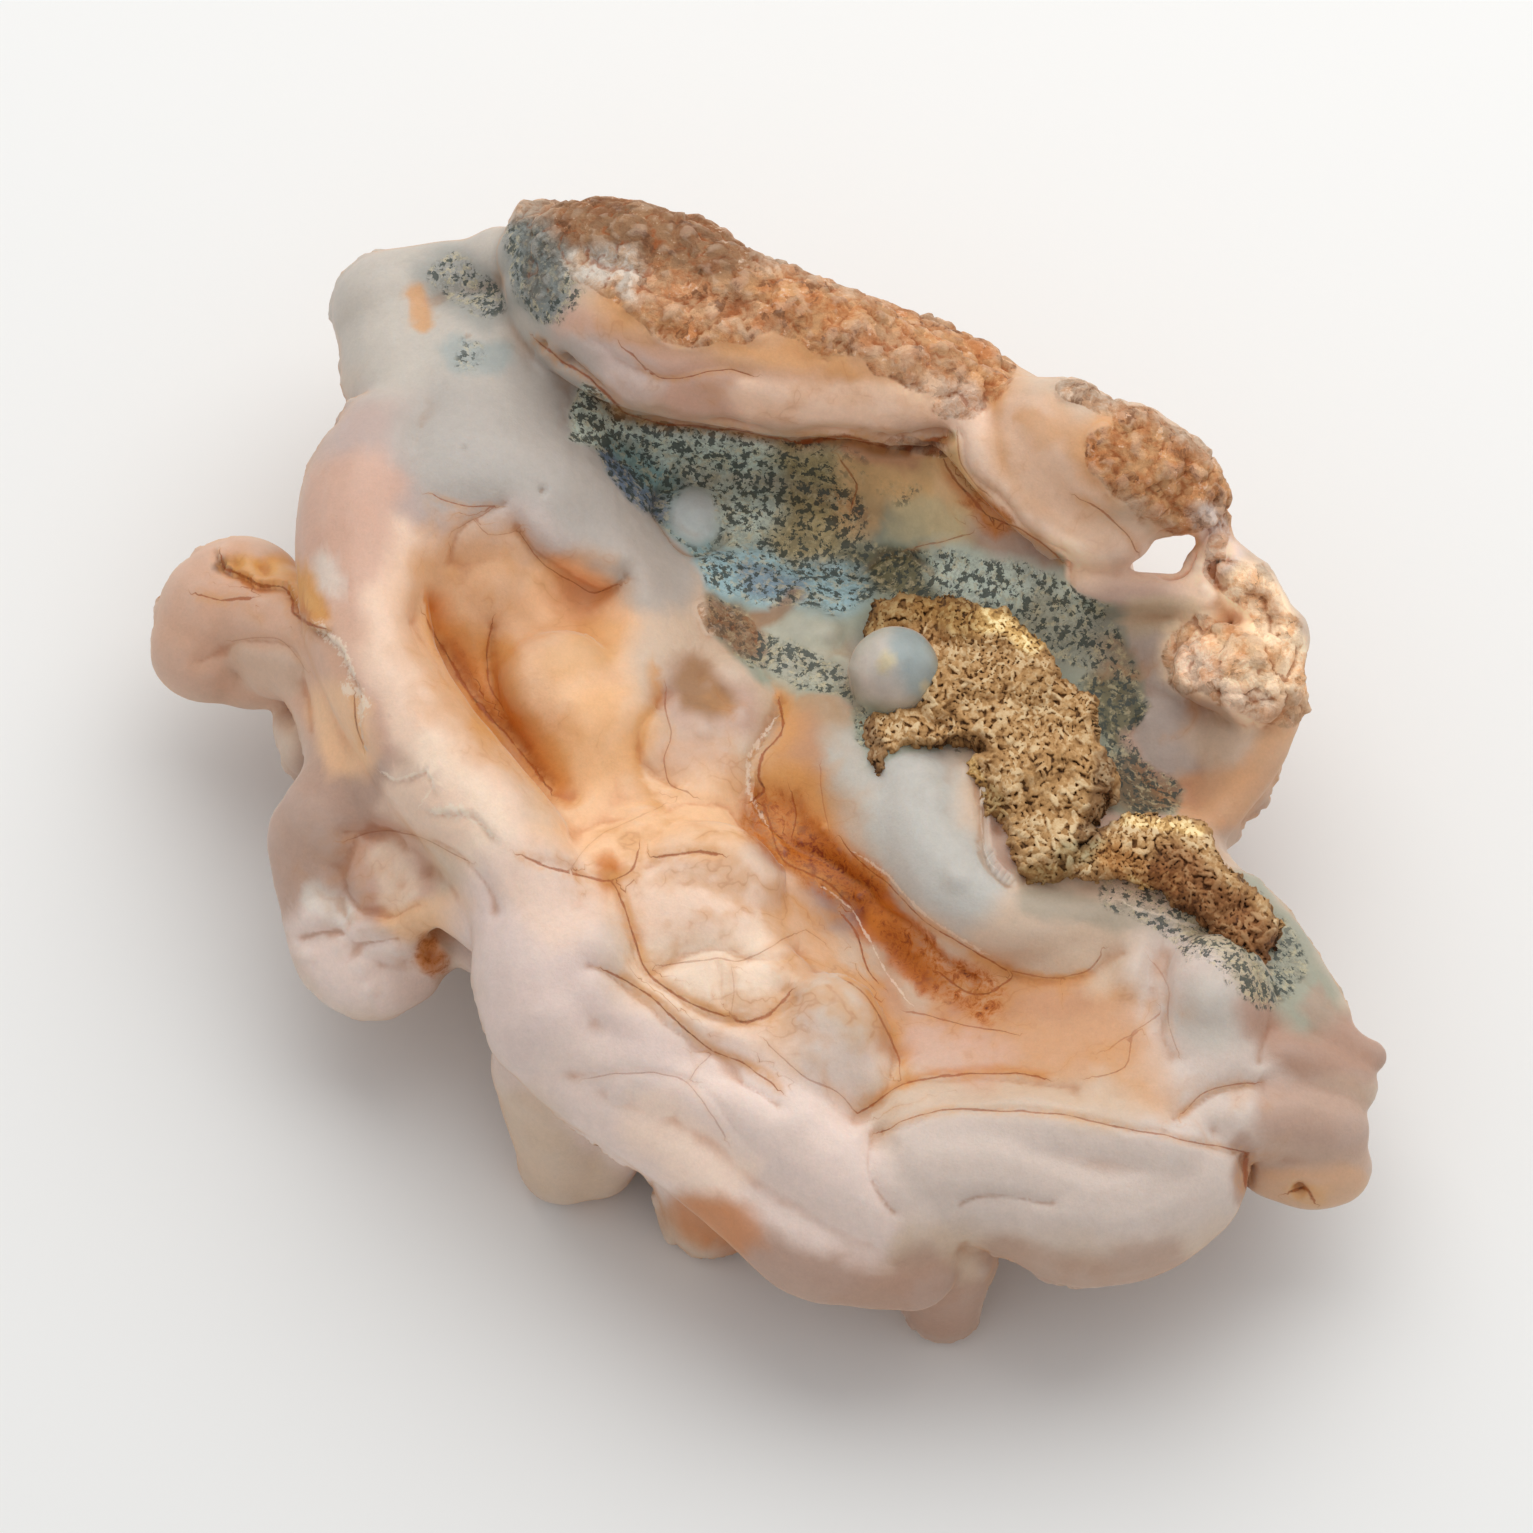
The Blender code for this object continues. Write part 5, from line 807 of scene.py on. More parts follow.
CRUST_TINTS = [
    ("khaki", 0.7, 2.4, [(87, 61.6), (91, 60.4), (97, 61)]),
    # the gleam strokes are painted highlight on the crust's upper and lower edges
    ("painted gleam", 0.9, 1.5, [(98.4, 62), (101, 62.4), (103, 64)]),
    ("straw", 0.5, 1.6, [(93, 61), (97, 62.6)]),
    ("umber", 0.5, 1.2, [(86.8, 73), (87.8, 76.6)]),
    ("painted gleam", 0.8, 0.9, [(97, 76.4), (97.6, 78.4)]),
    ("khaki", 0.7, 1.4, [(98.6, 79.4), (99.6, 81)]), ("khaki", 0.7, 1.1, [(102, 87.8), (106, 87.6)]),
    ("umber", 0.5, 1.4, [(110.4, 76), (110, 80), (108.4, 84)]),
    ("sage", 0.6, 1.2, [(106, 85.6), (110, 85)]), ("hay", 0.6, 1.8, [(111, 86), (116, 88)]),
    ("painted gleam", 0.6, 0.7, [(112, 82), (115, 82.2), (119.6, 83)]),
    ("painted gleam", 0.6, 0.6, [(113, 88.2), (116, 89.4)]),
    ("bark", 0.8, 3, [(117, 87), (122, 91), (125.6, 95)]),
]


def place(across, down, height):
    """The point of the drawing at this height above the table, in metres."""
    up = DRAWING_MIDDLE - down
    y = (up - height * math.cos(VIEW_TILT)) / math.sin(VIEW_TILT)
    return (Vector((across - DRAWING_MIDDLE, y, height)) + FOOTPRINT_SHIFT) * MM


def below(x, y, z):
    """A point of the underside, in metres."""
    return (Vector((x, y, z)) + FOOTPRINT_SHIFT) * MM


def on_drawing(points):
    """Where points of the stone, in millimetres, lie on the drawing."""
    x, y, z = (points - np.array(FOOTPRINT_SHIFT)).T
    down = DRAWING_MIDDLE - y * math.sin(VIEW_TILT) - z * math.cos(VIEW_TILT)
    return np.column_stack([x + DRAWING_MIDDLE, down])


def on_stone(places, heights):
    """The points, in millimetres, at these heights above the table and at places of the drawing."""
    up = DRAWING_MIDDLE - places[:, 1]
    y = (up - heights * math.cos(VIEW_TILT)) / math.sin(VIEW_TILT)
    return np.column_stack([places[:, 0] - DRAWING_MIDDLE, y, heights]) + np.array(FOOTPRINT_SHIFT)


def random_row(table, cells, shift=13):
    """The row of a table of random numbers that belongs to each cell of a grid."""
    key = (cells * CELL_KEYS[:cells.shape[1]]).sum(1)
    return table[(key ^ (key >> shift)) & (DICE - 1)]


def noise(points, size, seed=0, octaves=1):
    """Smooth random values from -1 to 1 over points, in lumps of this size."""
    table = np.random.default_rng(seed).uniform(-1, 1, DICE)
    total = np.zeros(len(points))
    weight = 1.0
    for octave in range(octaves):
        grid = points / size * 2 ** octave + FINER_SHIFT * (octave + 1) + seed
        corner = np.floor(grid).astype(np.int64)
        part = grid - corner
        part = part * part * (3 - 2 * part)
        value = np.zeros(len(points))
        for step in np.ndindex(*(2,) * points.shape[1]):
            share = np.prod(np.where(step, part, 1 - part), axis=1)
            value += random_row(table, corner + step) * share
        total += value * weight
        weight *= 0.5
    return total / (2 - 2 * weight)


def shifted(points, by, size, seed, octaves=1):
    """The points moved about by up to so much, in lumps of this size, so that lines on them waver."""
    moves = [noise(points, size, seed + k, octaves) for k in range(points.shape[1])]
    return points + by * np.column_stack(moves)


def crags(points, size, seed):
    """Craggy blocks of this size: how far each point is from its block's edge, and the block's own tone."""
    dice = np.random.default_rng(seed).uniform(0, 1, (DICE, 4))
    cell = np.floor(points / size).astype(np.int64)
    first = np.full(len(points), FAR)
    second = np.full(len(points), FAR)
    tone = np.zeros(len(points))
    for step in np.ndindex(3, 3, 3):
        here = cell + np.array(step) - 1
        cast = random_row(dice, here)
        away = np.linalg.norm(points / size - here - cast[:, :3], axis=1)
        nearer = away < first
        second = np.where(nearer, first, np.minimum(second, away))
        first = np.where(nearer, away, first)
        tone[nearer] = cast[nearer, 3]
    return second - first, tone


def ease(value, low, high):
    """A smooth rise from 0 at low to 1 at high."""
    t = np.clip((value - low) / (high - low), 0, 1)
    return t * t * (3 - 2 * t)


def curved(line, steps=4):
    """A smooth line through the points."""
    points = np.array(line, float)
    ends = np.vstack([points[:1], points, points[-1:]])
    found = []
    for p, q, r, s in zip(ends, ends[1:], ends[2:], ends[3:]):
        bow = 2 * p - 5 * q + 4 * r - s
        twist = 3 * q - p - 3 * r + s
        for f in np.arange(steps) / steps:
            found.append(0.5 * (2 * q + (r - p) * f + bow * f * f + twist * f ** 3))
    return np.array(found + [points[-1]])


def near_line(places, line, reach):
    """The places within reach of the line, their distance to it, and the side they are on (1 is its left)."""
    low, high = line.min(0) - reach, line.max(0) + reach
    chosen = np.nonzero(((places > low) & (places < high)).all(1))[0]
    spots = places[chosen]
    distance = np.full(len(spots), 1e9)
    side = np.zeros(len(spots))
    for a, b in zip(line, line[1:]):
        run = b - a
        along = np.clip(((spots - a) @ run) / (run @ run), 0, 1)
        away = spots - a - along[:, None] * run
        length = np.hypot(*away.T)
        closer = length < distance
        distance[closer] = length[closer]
        side[closer] = np.sign(away[closer, 0] * run[1] - away[closer, 1] * run[0])
    kept = distance < reach
    return chosen[kept], distance[kept], side[kept]


def inside(places, outline):
    """Whether each place of the drawing is inside the outline."""
    across, down = places.T
    odd = np.zeros(len(places), bool)
    for (a, b), (c, d) in zip(outline, outline[1:] + outline[:1]):
        if b != d:
            odd ^= ((b > down) != (d > down)) & (across < a + (down - b) * (c - a) / (d - b))
    return odd


def sheet_heights(places):
    """Heights of the smooth sheet that passes close to the SHEET points."""
    knots = np.array(SHEET, float)

    def bend(a, b):
        squared = ((a[:, None, :] - b[None, :, :]) ** 2).sum(-1)
        return 0.5 * squared * np.log(squared + 1e-9)

    n = len(knots)
    flat = np.hstack([np.ones((n, 1)), knots[:, :2]])
    springs = bend(knots[:, :2], knots[:, :2]) + SHEET_STIFFNESS * np.eye(n)
    matrix = np.block([[springs, flat], [flat.T, np.zeros((3, 3))]])
    weights = np.linalg.solve(matrix, np.concatenate([knots[:, 2], np.zeros(3)]))
    plane = np.hstack([np.ones((len(places), 1)), places])
    return bend(places, knots[:, :2]) @ weights[:n] + plane @ weights[n:]


def edge_distance(places, outline):
    """How far each place is from the outline."""
    found = np.full(len(places), FAR)
    closed = np.array(outline + outline[:1], float)
    which, distance, _ = near_line(places, closed, FAR)
    found[which] = distance
    return found


def deselect():
    """Nothing stays selected, so that an operator acts on the new piece alone."""
    if bpy.context.object and bpy.context.object.mode != "OBJECT":
        bpy.ops.object.mode_set(mode="OBJECT")
    bpy.ops.object.select_all(action="DESELECT")


def pick(obj):
    """Selects one piece and makes it active."""
    deselect()
    obj.select_set(True)
    bpy.context.view_layer.objects.active = obj


def apply_all(obj):
    """Applies the piece's modifiers."""
    pick(obj)
    for modifier in list(obj.modifiers):
        bpy.ops.object.modifier_apply(modifier=modifier.name)


def triangles(obj):
    """How many triangles the piece has."""
    return sum(len(p.vertices) - 2 for p in obj.data.polygons)


def points_of(obj):
    """The places of the piece, in millimetres, and its normals."""
    points = np.empty(3 * len(obj.data.vertices))
    normals = np.empty(3 * len(obj.data.vertices))
    obj.data.vertices.foreach_get("co", points)
    obj.data.vertices.foreach_get("normal", normals)
    return points.reshape(-1, 3) / MM, normals.reshape(-1, 3)


def move_points(obj, points):
    """Puts the piece's points in these places, in millimetres."""
    obj.data.vertices.foreach_set("co", (points * MM).ravel())
    obj.data.update()


def store(obj, name, values):
    """Keeps values over the piece's points, for its material."""
    if values.ndim == 1:
        obj.data.attributes.new(name, "FLOAT", "POINT").data.foreach_set("value", values.astype(np.float32))
    else:
        colours = np.hstack([values, np.ones((len(values), 1))]).astype(np.float32)
        obj.data.attributes.new(name, "FLOAT_COLOR", "POINT").data.foreach_set("color", colours.ravel())


def add_roll(beads, where):
    """A tube through the beads that swells and thins with them, closed by a ball at each end."""
    bpy.ops.curve.primitive_bezier_curve_add()
    roll = bpy.context.object
    roll.data.bevel_depth = MM
    roll.data.bevel_resolution = 5
    roll.data.resolution_u = 7
    roll.data.use_fill_caps = True
    spline = roll.data.splines[0]
    spline.radius_interpolation = "CARDINAL"
    spline.bezier_points.add(len(beads) - 2)
    middles = [where(*bead[:3]) for bead in beads]
    for k, point in enumerate(spline.bezier_points):
        lean = (middles[min(k + 1, len(beads) - 1)] - middles[max(k - 1, 0)]) / 6
        point.handle_left_type = point.handle_right_type = "FREE"
        point.co = middles[k]
        point.handle_left = middles[k] - lean
        point.handle_right = middles[k] + lean
        point.radius = beads[k][3]
    bpy.ops.object.convert(target="MESH")
    made = [roll]
    for middle, bead in ((middles[0], beads[0]), (middles[-1], beads[-1])):
        bpy.ops.mesh.primitive_ico_sphere_add(subdivisions=4, radius=bead[3] * MM, location=middle)
        made.append(bpy.context.object)
    return made


def add_ball(middle, radii, turn=Matrix.Identity(4)):
    """One lobe, as a ball stretched to its three radii."""
    bpy.ops.mesh.primitive_ico_sphere_add(subdivisions=4, radius=1)
    ball = bpy.context.object
    size = Matrix.Diagonal(Vector((*radii, 1))) * MM
    size[3][3] = 1
    ball.data.transform(Matrix.Translation(middle) @ turn @ size)
    return [ball]


def add_lobe(across, down, height, half_width, half_length, half_depth, turn):
    """A lobe that is stretched in the plane of the drawing, and turned in it."""
    facing = Matrix.Rotation(math.pi / 2 - VIEW_TILT, 4, "X") @ Matrix.Rotation(math.radians(turn), 4, "Z")
    return add_ball(place(across, down, height), (half_width, half_length, half_depth), facing)


def add_grid(across, down):
    """A flat grid for a part of the drawing, and the place of each of its points on the drawing."""
    deselect()
    bpy.ops.mesh.primitive_grid_add(x_subdivisions=len(across) - 1, y_subdivisions=len(down) - 1, size=1)
    grid = bpy.context.object
    flat, _ = points_of(grid)
    flat = flat * MM + 0.5
    places = np.column_stack([
        across[0] + flat[:, 0] * (across[-1] - across[0]),
        down[0] + flat[:, 1] * (down[-1] - down[0]),
    ])
    return grid, places


def faces_within(grid, within):
    """Cuts away the faces of the grid that aren't within."""
    mesh = grid.data
    mesh.vertices.foreach_set("select", np.zeros(len(mesh.vertices), bool))
    mesh.edges.foreach_set("select", np.zeros(len(mesh.edges), bool))
    mesh.polygons.foreach_set("select", ~within)
    bpy.ops.object.mode_set(mode="EDIT")
    bpy.ops.mesh.select_mode(type="FACE")
    bpy.ops.mesh.delete(type="FACE")
    bpy.ops.object.mode_set(mode="OBJECT")


def add_sheet():
    """The broad upper face: a flat grid that is raised to its heights, trimmed and thickened downward."""
    sheet, places = add_grid(np.arange(*SHEET_ACROSS), np.arange(*SHEET_DOWN))
    heights = sheet_heights(places)
    heights -= MARGIN_SINKING * np.clip(1 - edge_distance(places, SHEET_EDGE) / MARGIN_WIDTH, 0, 1) ** 2
    points = np.array([place(a, d, h) for (a, d), h in zip(places, heights)]) / MM
    move_points(sheet, points)
    centres = np.array([places[list(p.vertices)].mean(0) for p in sheet.data.polygons])
    faces_within(sheet, inside(centres, SHEET_EDGE))
    bpy.ops.object.mode_set(mode="EDIT")
    bpy.ops.mesh.select_all(action="SELECT")
    bpy.ops.mesh.extrude_region_move(TRANSFORM_OT_translate={"value": (0, 0, -SHEET_THICKNESS * MM)})
    bpy.ops.mesh.select_all(action="SELECT")
    bpy.ops.mesh.normals_make_consistent(inside=False)
    bpy.ops.object.mode_set(mode="OBJECT")
    return [sheet]


def join(pieces, name):
    """Joins the pieces in one object at the origin."""
    deselect()
    for piece in pieces:
        piece.select_set(True)
    bpy.context.view_layer.objects.active = pieces[0]
    bpy.ops.object.join()
    joined = bpy.context.object
    bpy.ops.object.transform_apply(location=True, rotation=True, scale=True)
    joined.name = joined.data.name = name
    return joined


def laplace(obj, values, rounds):
    """Values over the piece's points, each blended with its neighbours' for some rounds."""
    edges = np.empty(2 * len(obj.data.edges), np.int64)
    obj.data.edges.foreach_get("vertices", edges)
    a, b = edges.reshape(-1, 2).T
    count = len(obj.data.vertices)
    degree = np.bincount(a, minlength=count) + np.bincount(b, minlength=count)
    columns = values if values.ndim == 2 else values[:, None]
    for _ in range(rounds):
        around = np.column_stack([
            np.bincount(a, column[b], count) + np.bincount(b, column[a], count) for column in columns.T
        ])
        columns = 0.5 * columns + 0.5 * around / np.maximum(degree, 1)[:, None]
    return columns if values.ndim == 2 else columns[:, 0]


def stroke(places, strength, reach, line):
    """The places that one soft stroke covers, and how strongly."""
    path = np.array(line if len(line) > 1 else line + [(line[0][0] + 0.01, line[0][1])], float)
    which, distance, _ = near_line(places, path, reach * 1.25)
    return which, strength * ease(distance, reach * 1.25, reach * 0.55)


def brushed(places, strokes):
    """How strongly each place is covered by the strokes: (strength, reach, the line on the drawing)."""
    cover = np.zeros(len(places))
    for strength, reach, line in strokes:
        which, weight = stroke(places, strength, reach, line)
        cover[which] = np.maximum(cover[which], weight) if strength > 0 else cover[which] * (1 + weight)
    return cover


def shade_of(name):
    """The colour of this name, in the linear values that a render works with."""
    return (np.array(HUES[name]) / 255) ** 2.2


def laid(places, ground, strokes):
    """The colour of each place: a ground, and strokes of (colour, strength, reach, line) laid over it."""
    tint = np.tile(shade_of(ground), (len(places), 1))
    for hue, strength, reach, line in strokes:
        which, weight = stroke(places, strength, reach, line)
        tint[which] += (shade_of(hue) - tint[which]) * weight[:, None]
    return tint


def mixed(under, over, share):
    """Colours laid over others by this share at each point."""
    return under + (over - under) * share[:, None]


def make_skin():
    """All lobes, rolls and the sheet, fused in one closed skin, with soft creases between them."""
    pieces = add_sheet()
    for beads in ROLLS:
        pieces += add_roll(beads, place)
    for beads in FEET:
        pieces += add_roll(beads, below)
    for lobe in LOBES:
        pieces += add_lobe(*lobe)
    for x, y, z, *radii in BODY:
        pieces += add_ball(below(x, y, z), radii)
    for x, y, z, radius in UNDER:
        pieces += add_ball(below(x, y, z), [radius] * 3)
    skin = join(pieces, "chalcedony_stone")
    fuse = skin.modifiers.new("fuse", "REMESH")
    fuse.mode = "VOXEL"
    fuse.voxel_size = LOBE_VOXEL * MM
    soften = skin.modifiers.new("soften", "SMOOTH")
    soften.factor = 0.5
    soften.iterations = round(4.6 / LOBE_VOXEL ** 2)
    apply_all(skin)
    return skin


def carve(skin):
    """Presses in the creases, lifts the chipped edges and adds the small relief and the rough rind."""
    points, normals = points_of(skin)
    places = on_drawing(points)
    facing = normals @ VIEW
    warped = shifted(places, 0.5, 3.1, 5)
    rise = drawn_relief(places, warped) * np.clip(facing * 2, 0, 1) * (points[:, 2] > LOWEST_RELIEF)
    rind = rind_of(points, normals)
    waves = 0.2 * noise(points, WAVE_SIZE, 11) + 0.07 * noise(points, RIPPLE_SIZE, 12)
    speckled = brushed(warped, CAVITY_SPECKS) * ease(facing, -0.1, 0.3)
    rise += waves * (1 - 0.5 * rind) + rind_relief(points, rind) * rind
    rise += 0.16 * noise(points, 1.2, 15, 2) * speckled
    move_points(skin, points + normals * rise[:, None])


def drawn_relief(places, warped):
    """How far the creases, seams, steps and bumps of the drawing lower or raise each place."""
    rise = np.zeros(len(places))
    for reach, deep, line in CREASES:
        which, distance, _ = near_line(warped, curved(line), reach)
        rise[which] = np.minimum(rise[which], -CREASE_SHARE * deep * (1 - distance / reach) ** 2.2)
    for _, strength, line in SEAMS:
        which, distance, _ = near_line(places, curved(line), SEAM_REACH)
        rise[which] -= SEAM_DEPTH * strength * (1 - distance / SEAM_REACH) ** 2
    for reach, height, line in STEPS:
        which, distance, side = near_line(warped, curved(line), reach)
        rise[which] += STEP_SHARE * height * side * (1 - distance / reach) ** 1.5
    for across, down, reach, height in BUMPS:
        away = np.hypot(places[:, 0] - across, places[:, 1] - down) / reach
        rise += height * np.clip(1 - away ** 2, 0, 1) ** 2
    return rise


def rind_relief(points, rind):
    """Craggy blocks, and smaller chunks on them, wherever there is rind."""
    rough = np.zeros(len(points))
    craggy = np.nonzero(rind > 0.02)[0]
    spots = shifted(points[craggy], 0.5, 1.6, 61, 2)
    blocks, block_tone = crags(spots, RIND_BLOCK, 64)
    chunks, chunk_tone = crags(spots, RIND_CHUNK, 65)
    rough[craggy] = (
        1.6 * np.minimum(blocks, 0.18) + 0.8 * (block_tone - 0.5) + 0.9 * np.minimum(chunks, 0.18)
        + 0.3 * (chunk_tone - 0.5) + 0.45 * noise(points[craggy], 3.4, 13, 3)
    )
    return rough


def rind_of(points, normals):
    """How much of the rough, dull rind lies over each point: painted in front, and patches of it behind."""
    places = on_drawing(points)
    facing = normals @ VIEW
    front = brushed(shifted(places, 1.2, 3.4, 21, 2), RINDS) * ease(facing, -0.3, 0.1)
    back = ease(noise(points, 11, 23, 3), -0.05, 0.25) * ease(facing, 0.15, -0.25) * 0.9
    return np.maximum(front, back * (1 - brushed(places, BASIN)))


def thin_out(skin):
    """Brings the skin down to fewer triangles: first where it is out of sight, then where it is even."""
    _, normals = points_of(skin)
    away = np.nonzero(normals @ VIEW < -0.1)[0]
    unseen = skin.vertex_groups.new(name="out of sight")
    unseen.add(away.tolist(), 1, "REPLACE")
    shown = triangles(skin) * (1 - len(away) / len(normals))
    for group, faces in (("out of sight", shown + HIDDEN_FACES), ("", STONE_FACES)):
        if triangles(skin) > faces:
            thin = skin.modifiers.new("thin out", "DECIMATE")
            thin.ratio = faces / triangles(skin)
            thin.vertex_group = group
            apply_all(skin)
    skin.vertex_groups.clear()


def stand_flat(skin):
    """Cuts the feet flat, level with the table."""
    pick(skin)
    bpy.ops.object.mode_set(mode="EDIT")
    bpy.ops.mesh.select_all(action="SELECT")
    bpy.ops.mesh.bisect(
        plane_co=(0, 0, 0), plane_no=(0, 0, 1), use_fill=True, clear_inner=True, threshold=1e-6,
    )
    bpy.ops.mesh.select_all(action="SELECT")
    bpy.ops.mesh.normals_make_consistent(inside=False)
    bpy.ops.mesh.quads_convert_to_tris()
    bpy.ops.object.mode_set(mode="OBJECT")


def stain(skin):
    """Lays the colours and the masks for the material over the stone's points."""
    points, normals = points_of(skin)
    places = on_drawing(points)
    warped = shifted(places, 1.1, 2.8, 31, 3)
    ragged = places + 0.35 * (warped - places)
    front = ease(normals @ VIEW, -0.12, 0.3)
    rind = rind_of(points, normals)
    cavity = ease((inside(ragged, CAVITY) * 2 - 1) * edge_distance(ragged, CAVITY), -0.35, 0.35)

    deep = laid(warped, "moss", CAVITY_TINTS) * (1 + 0.3 * noise(points, 2.2, 35, 3)[:, None])
    tint = mixed(laid(warped, "sand", TINTS), deep, cavity)
    tint = mixed(hidden_tint(points, rind), tint, front)
    for hue, strength, reach, line in EDGES:
        which, distance, side = near_line(ragged, curved(line), reach)
        weight = strength * ease(distance * side, -0.2, 0.2) * ease(distance, reach, 0.1 * reach)
        weight *= front[which]
        tint[which] += (shade_of(hue) - tint[which]) * weight[:, None]

    hollow = ((laplace(skin, points, HOLLOW_ROUNDS) - points) * normals).sum(1)
    store(skin, "hollow", np.clip(hollow / FULL_HOLLOW, -1, 1))
    store(skin, "tint", tint)
    specks = np.maximum(brushed(warped, SPECKS), brushed(warped, CAVITY_SPECKS) * cavity)
    store(skin, "specks", specks * front)
    store(skin, "rust", brushed(warped, RUSTS) * front)
    store(skin, "veins", np.maximum(brushed(warped, VEINS) * front, 0.5 * (1 - front)))
    store(skin, "rind", rind)
    # the crack masks also carry the few seams that are painted shade, under the ridge's lip and in a gap by
    # the arms
    for name, lines in (("crack", SEAMS), ("chip", CHIPS)):
        signed, near = along_lines(shifted(places, 0.12, 1.3, 41), lines)
        store(skin, name, signed)
        store(skin, name + "_near", near * front)


def hidden_tint(points, rind):
    """The colours of the far side and the underside: clouds of two pale ones, stained patches and rind."""
    cloud = ease(noise(points, 14, 33, 2), -0.35, 0.35)
    patch = ease(noise(points, 9, 34, 3), 0.0, 0.35)
    tint = mixed(shade_of("mist"), shade_of("tan"), cloud)
    tint = mixed(tint, shade_of("honey"), 0.7 * patch)
    return mixed(tint, shade_of("rock"), 0.8 * rind)


def along_lines(places, lines):
    """How far off the nearest line is, in its half widths and signed by its side, and how strong it is."""
    nearest = np.full(len(places), NO_CRACK)
    signed = np.full(len(places), NO_CRACK)
    strengths = np.zeros(len(places))
    for half, strength, line in lines:
        which, distance, side = near_line(places, curved(line), CRACK_REACH)
        closer = distance < nearest[which]
        which, distance, side = which[closer], distance[closer], side[closer]
        nearest[which] = distance
        signed[which] = distance * side / half
        strengths[which] = strength
    return signed, strengths * ease(nearest, 1.6, 0.6)


def make_crust():
    """The sandy crust: a bed of chips, laid in lumps over the floor of the hollow."""
    crust, places = add_grid(np.arange(*CRUST_ACROSS, CRUST_STEP), np.arange(*CRUST_DOWN, CRUST_STEP))
    crust.name = crust.data.name = "matrix_crust_sand"
    warped = shifted(places, 0.7, 2.2, 51, 3)
    ragged = shifted(places, 0.5, 0.9, 57, 2)
    rim = edge_distance(ragged, CRUST_EDGE)
    lumps = 0.7 * noise(places, 4.2, 53, 2) + 0.45 * noise(places, 1.7, 54, 2)
    grains, tone = chip_bed(places)
    move_points(crust, on_stone(places, crust_lumps(places, warped, rim) + lumps + grains))
    store(crust, "tone", tone - 0.15 * np.clip(1 - rim / 0.5, 0, 1) - 0.12 * ease(-lumps, 0.2, 0.9))
    store(crust, "tint", laid(warped, "plain", CRUST_TINTS))

    corners = np.empty(4 * len(crust.data.polygons), np.int64)
    crust.data.polygons.foreach_get("vertices", corners)
    faces_within(crust, inside(ragged, CRUST_EDGE)[corners.reshape(-1, 4)].all(1))
    upper = len(crust.data.vertices)
    bpy.ops.object.mode_set(mode="EDIT")
    bpy.ops.mesh.select_all(action="SELECT")
    bpy.ops.mesh.select_mode(type="EDGE")
    bpy.ops.mesh.region_to_loop()
    down = (0, 0, -CRUST_DROP * MM / CRUST_RINGS)
    for _ in range(CRUST_RINGS):
        bpy.ops.mesh.extrude_edges_move(TRANSFORM_OT_translate={"value": down})
    bpy.ops.transform.resize(value=(1, 1, 0))
    bpy.ops.mesh.edge_face_add()
    bpy.ops.mesh.select_all(action="SELECT")
    bpy.ops.mesh.normals_make_consistent(inside=False)
    bpy.ops.mesh.quads_convert_to_tris()
    bpy.ops.object.mode_set(mode="OBJECT")
    roughen_wall(crust, upper)
    return crust


def crust_lumps(places, warped, rim):
    """Heights of the crust's lumps, which lie over the floor of the hollow and sink at the rim."""
    top = np.full(len(places), -9.0)
    for across, down, height, width, length, depth, turn in CRUST:
        c, s = math.cos(math.radians(turn)), math.sin(math.radians(turn))
        run = (warped[:, 0] - across) * c - (warped[:, 1] - down) * s
        rise = (warped[:, 0] - across) * s + (warped[:, 1] - down) * c
        away = (run / width) ** 2 + (rise / length) ** 2
        dome = math.sin(VIEW_TILT) * depth * np.sqrt(np.clip(1 - away, 0, 1))
        top = np.maximum(top, height + dome - 5 * np.clip(np.sqrt(away) - 1, 0, 9))
    return np.maximum(top, sheet_heights(places) + 0.6) - 1.6 * np.clip(1 - rim / 1.1, 0, 1) ** 2


def chip_bed(places):
    """Beds of big and of small chips that take turns: how high they stand, and each chip's tone."""
    flow = 0.15 + 0.5 * noise(places, 9, 55)
    big, big_tone = chips(places, BIG_CHIP, 7, flow)
    small, small_tone = chips(places, SMALL_CHIP, 8, flow)
    share = ease(noise(places, 2.4, 56, 2), -0.25, 0.2)
    grains = big * share + small * (1 - share) + 0.25 * small * share
    return grains, 0.75 * big_tone * share + small_tone * (1 - 0.75 * share)


def chips(places, size, seed, along_flow):
    """Elongated grains lying over each other: how high they stand at each place, and each one's tone."""
    dice = np.random.default_rng(seed).uniform(0, 1, (DICE, 7))
    cell = np.floor(places / size).astype(np.int64)
    height = np.full(len(places), -0.25 * size)
    tone = np.full(len(places), 0.05)
    for step in np.ndindex(5, 5):
        here = cell + np.array(step) - 2
        cast = random_row(dice, here, 11)
        middle = (here + cast[:, :2]) * size
        angle = (along_flow + 1.1 * (cast[:, 2] - 0.5) + (cast[:, 6] > 0.75) * 1.2) * math.pi
        away = places - middle
        along = away[:, 0] * np.cos(angle) + away[:, 1] * np.sin(angle)
        aside = away[:, 1] * np.cos(angle) - away[:, 0] * np.sin(angle)
        length = size * (0.6 + 1.1 * cast[:, 3])
        width = size * (0.3 + 0.4 * cast[:, 4])
        shape = 1 - (along / length) ** 2 - (aside / width) ** 2
        stands = size * (0.7 * cast[:, 5] + 0.35 * np.sqrt(np.clip(shape, 0, 1)))
        stands += along * (cast[:, 4] - 0.5) * 0.7
        higher = (shape > 0) & (stands > height)
        height[higher] = stands[higher]
        tone[higher] = cast[higher, 3] * 0.5 + cast[higher, 5] * 0.5
    return height, tone


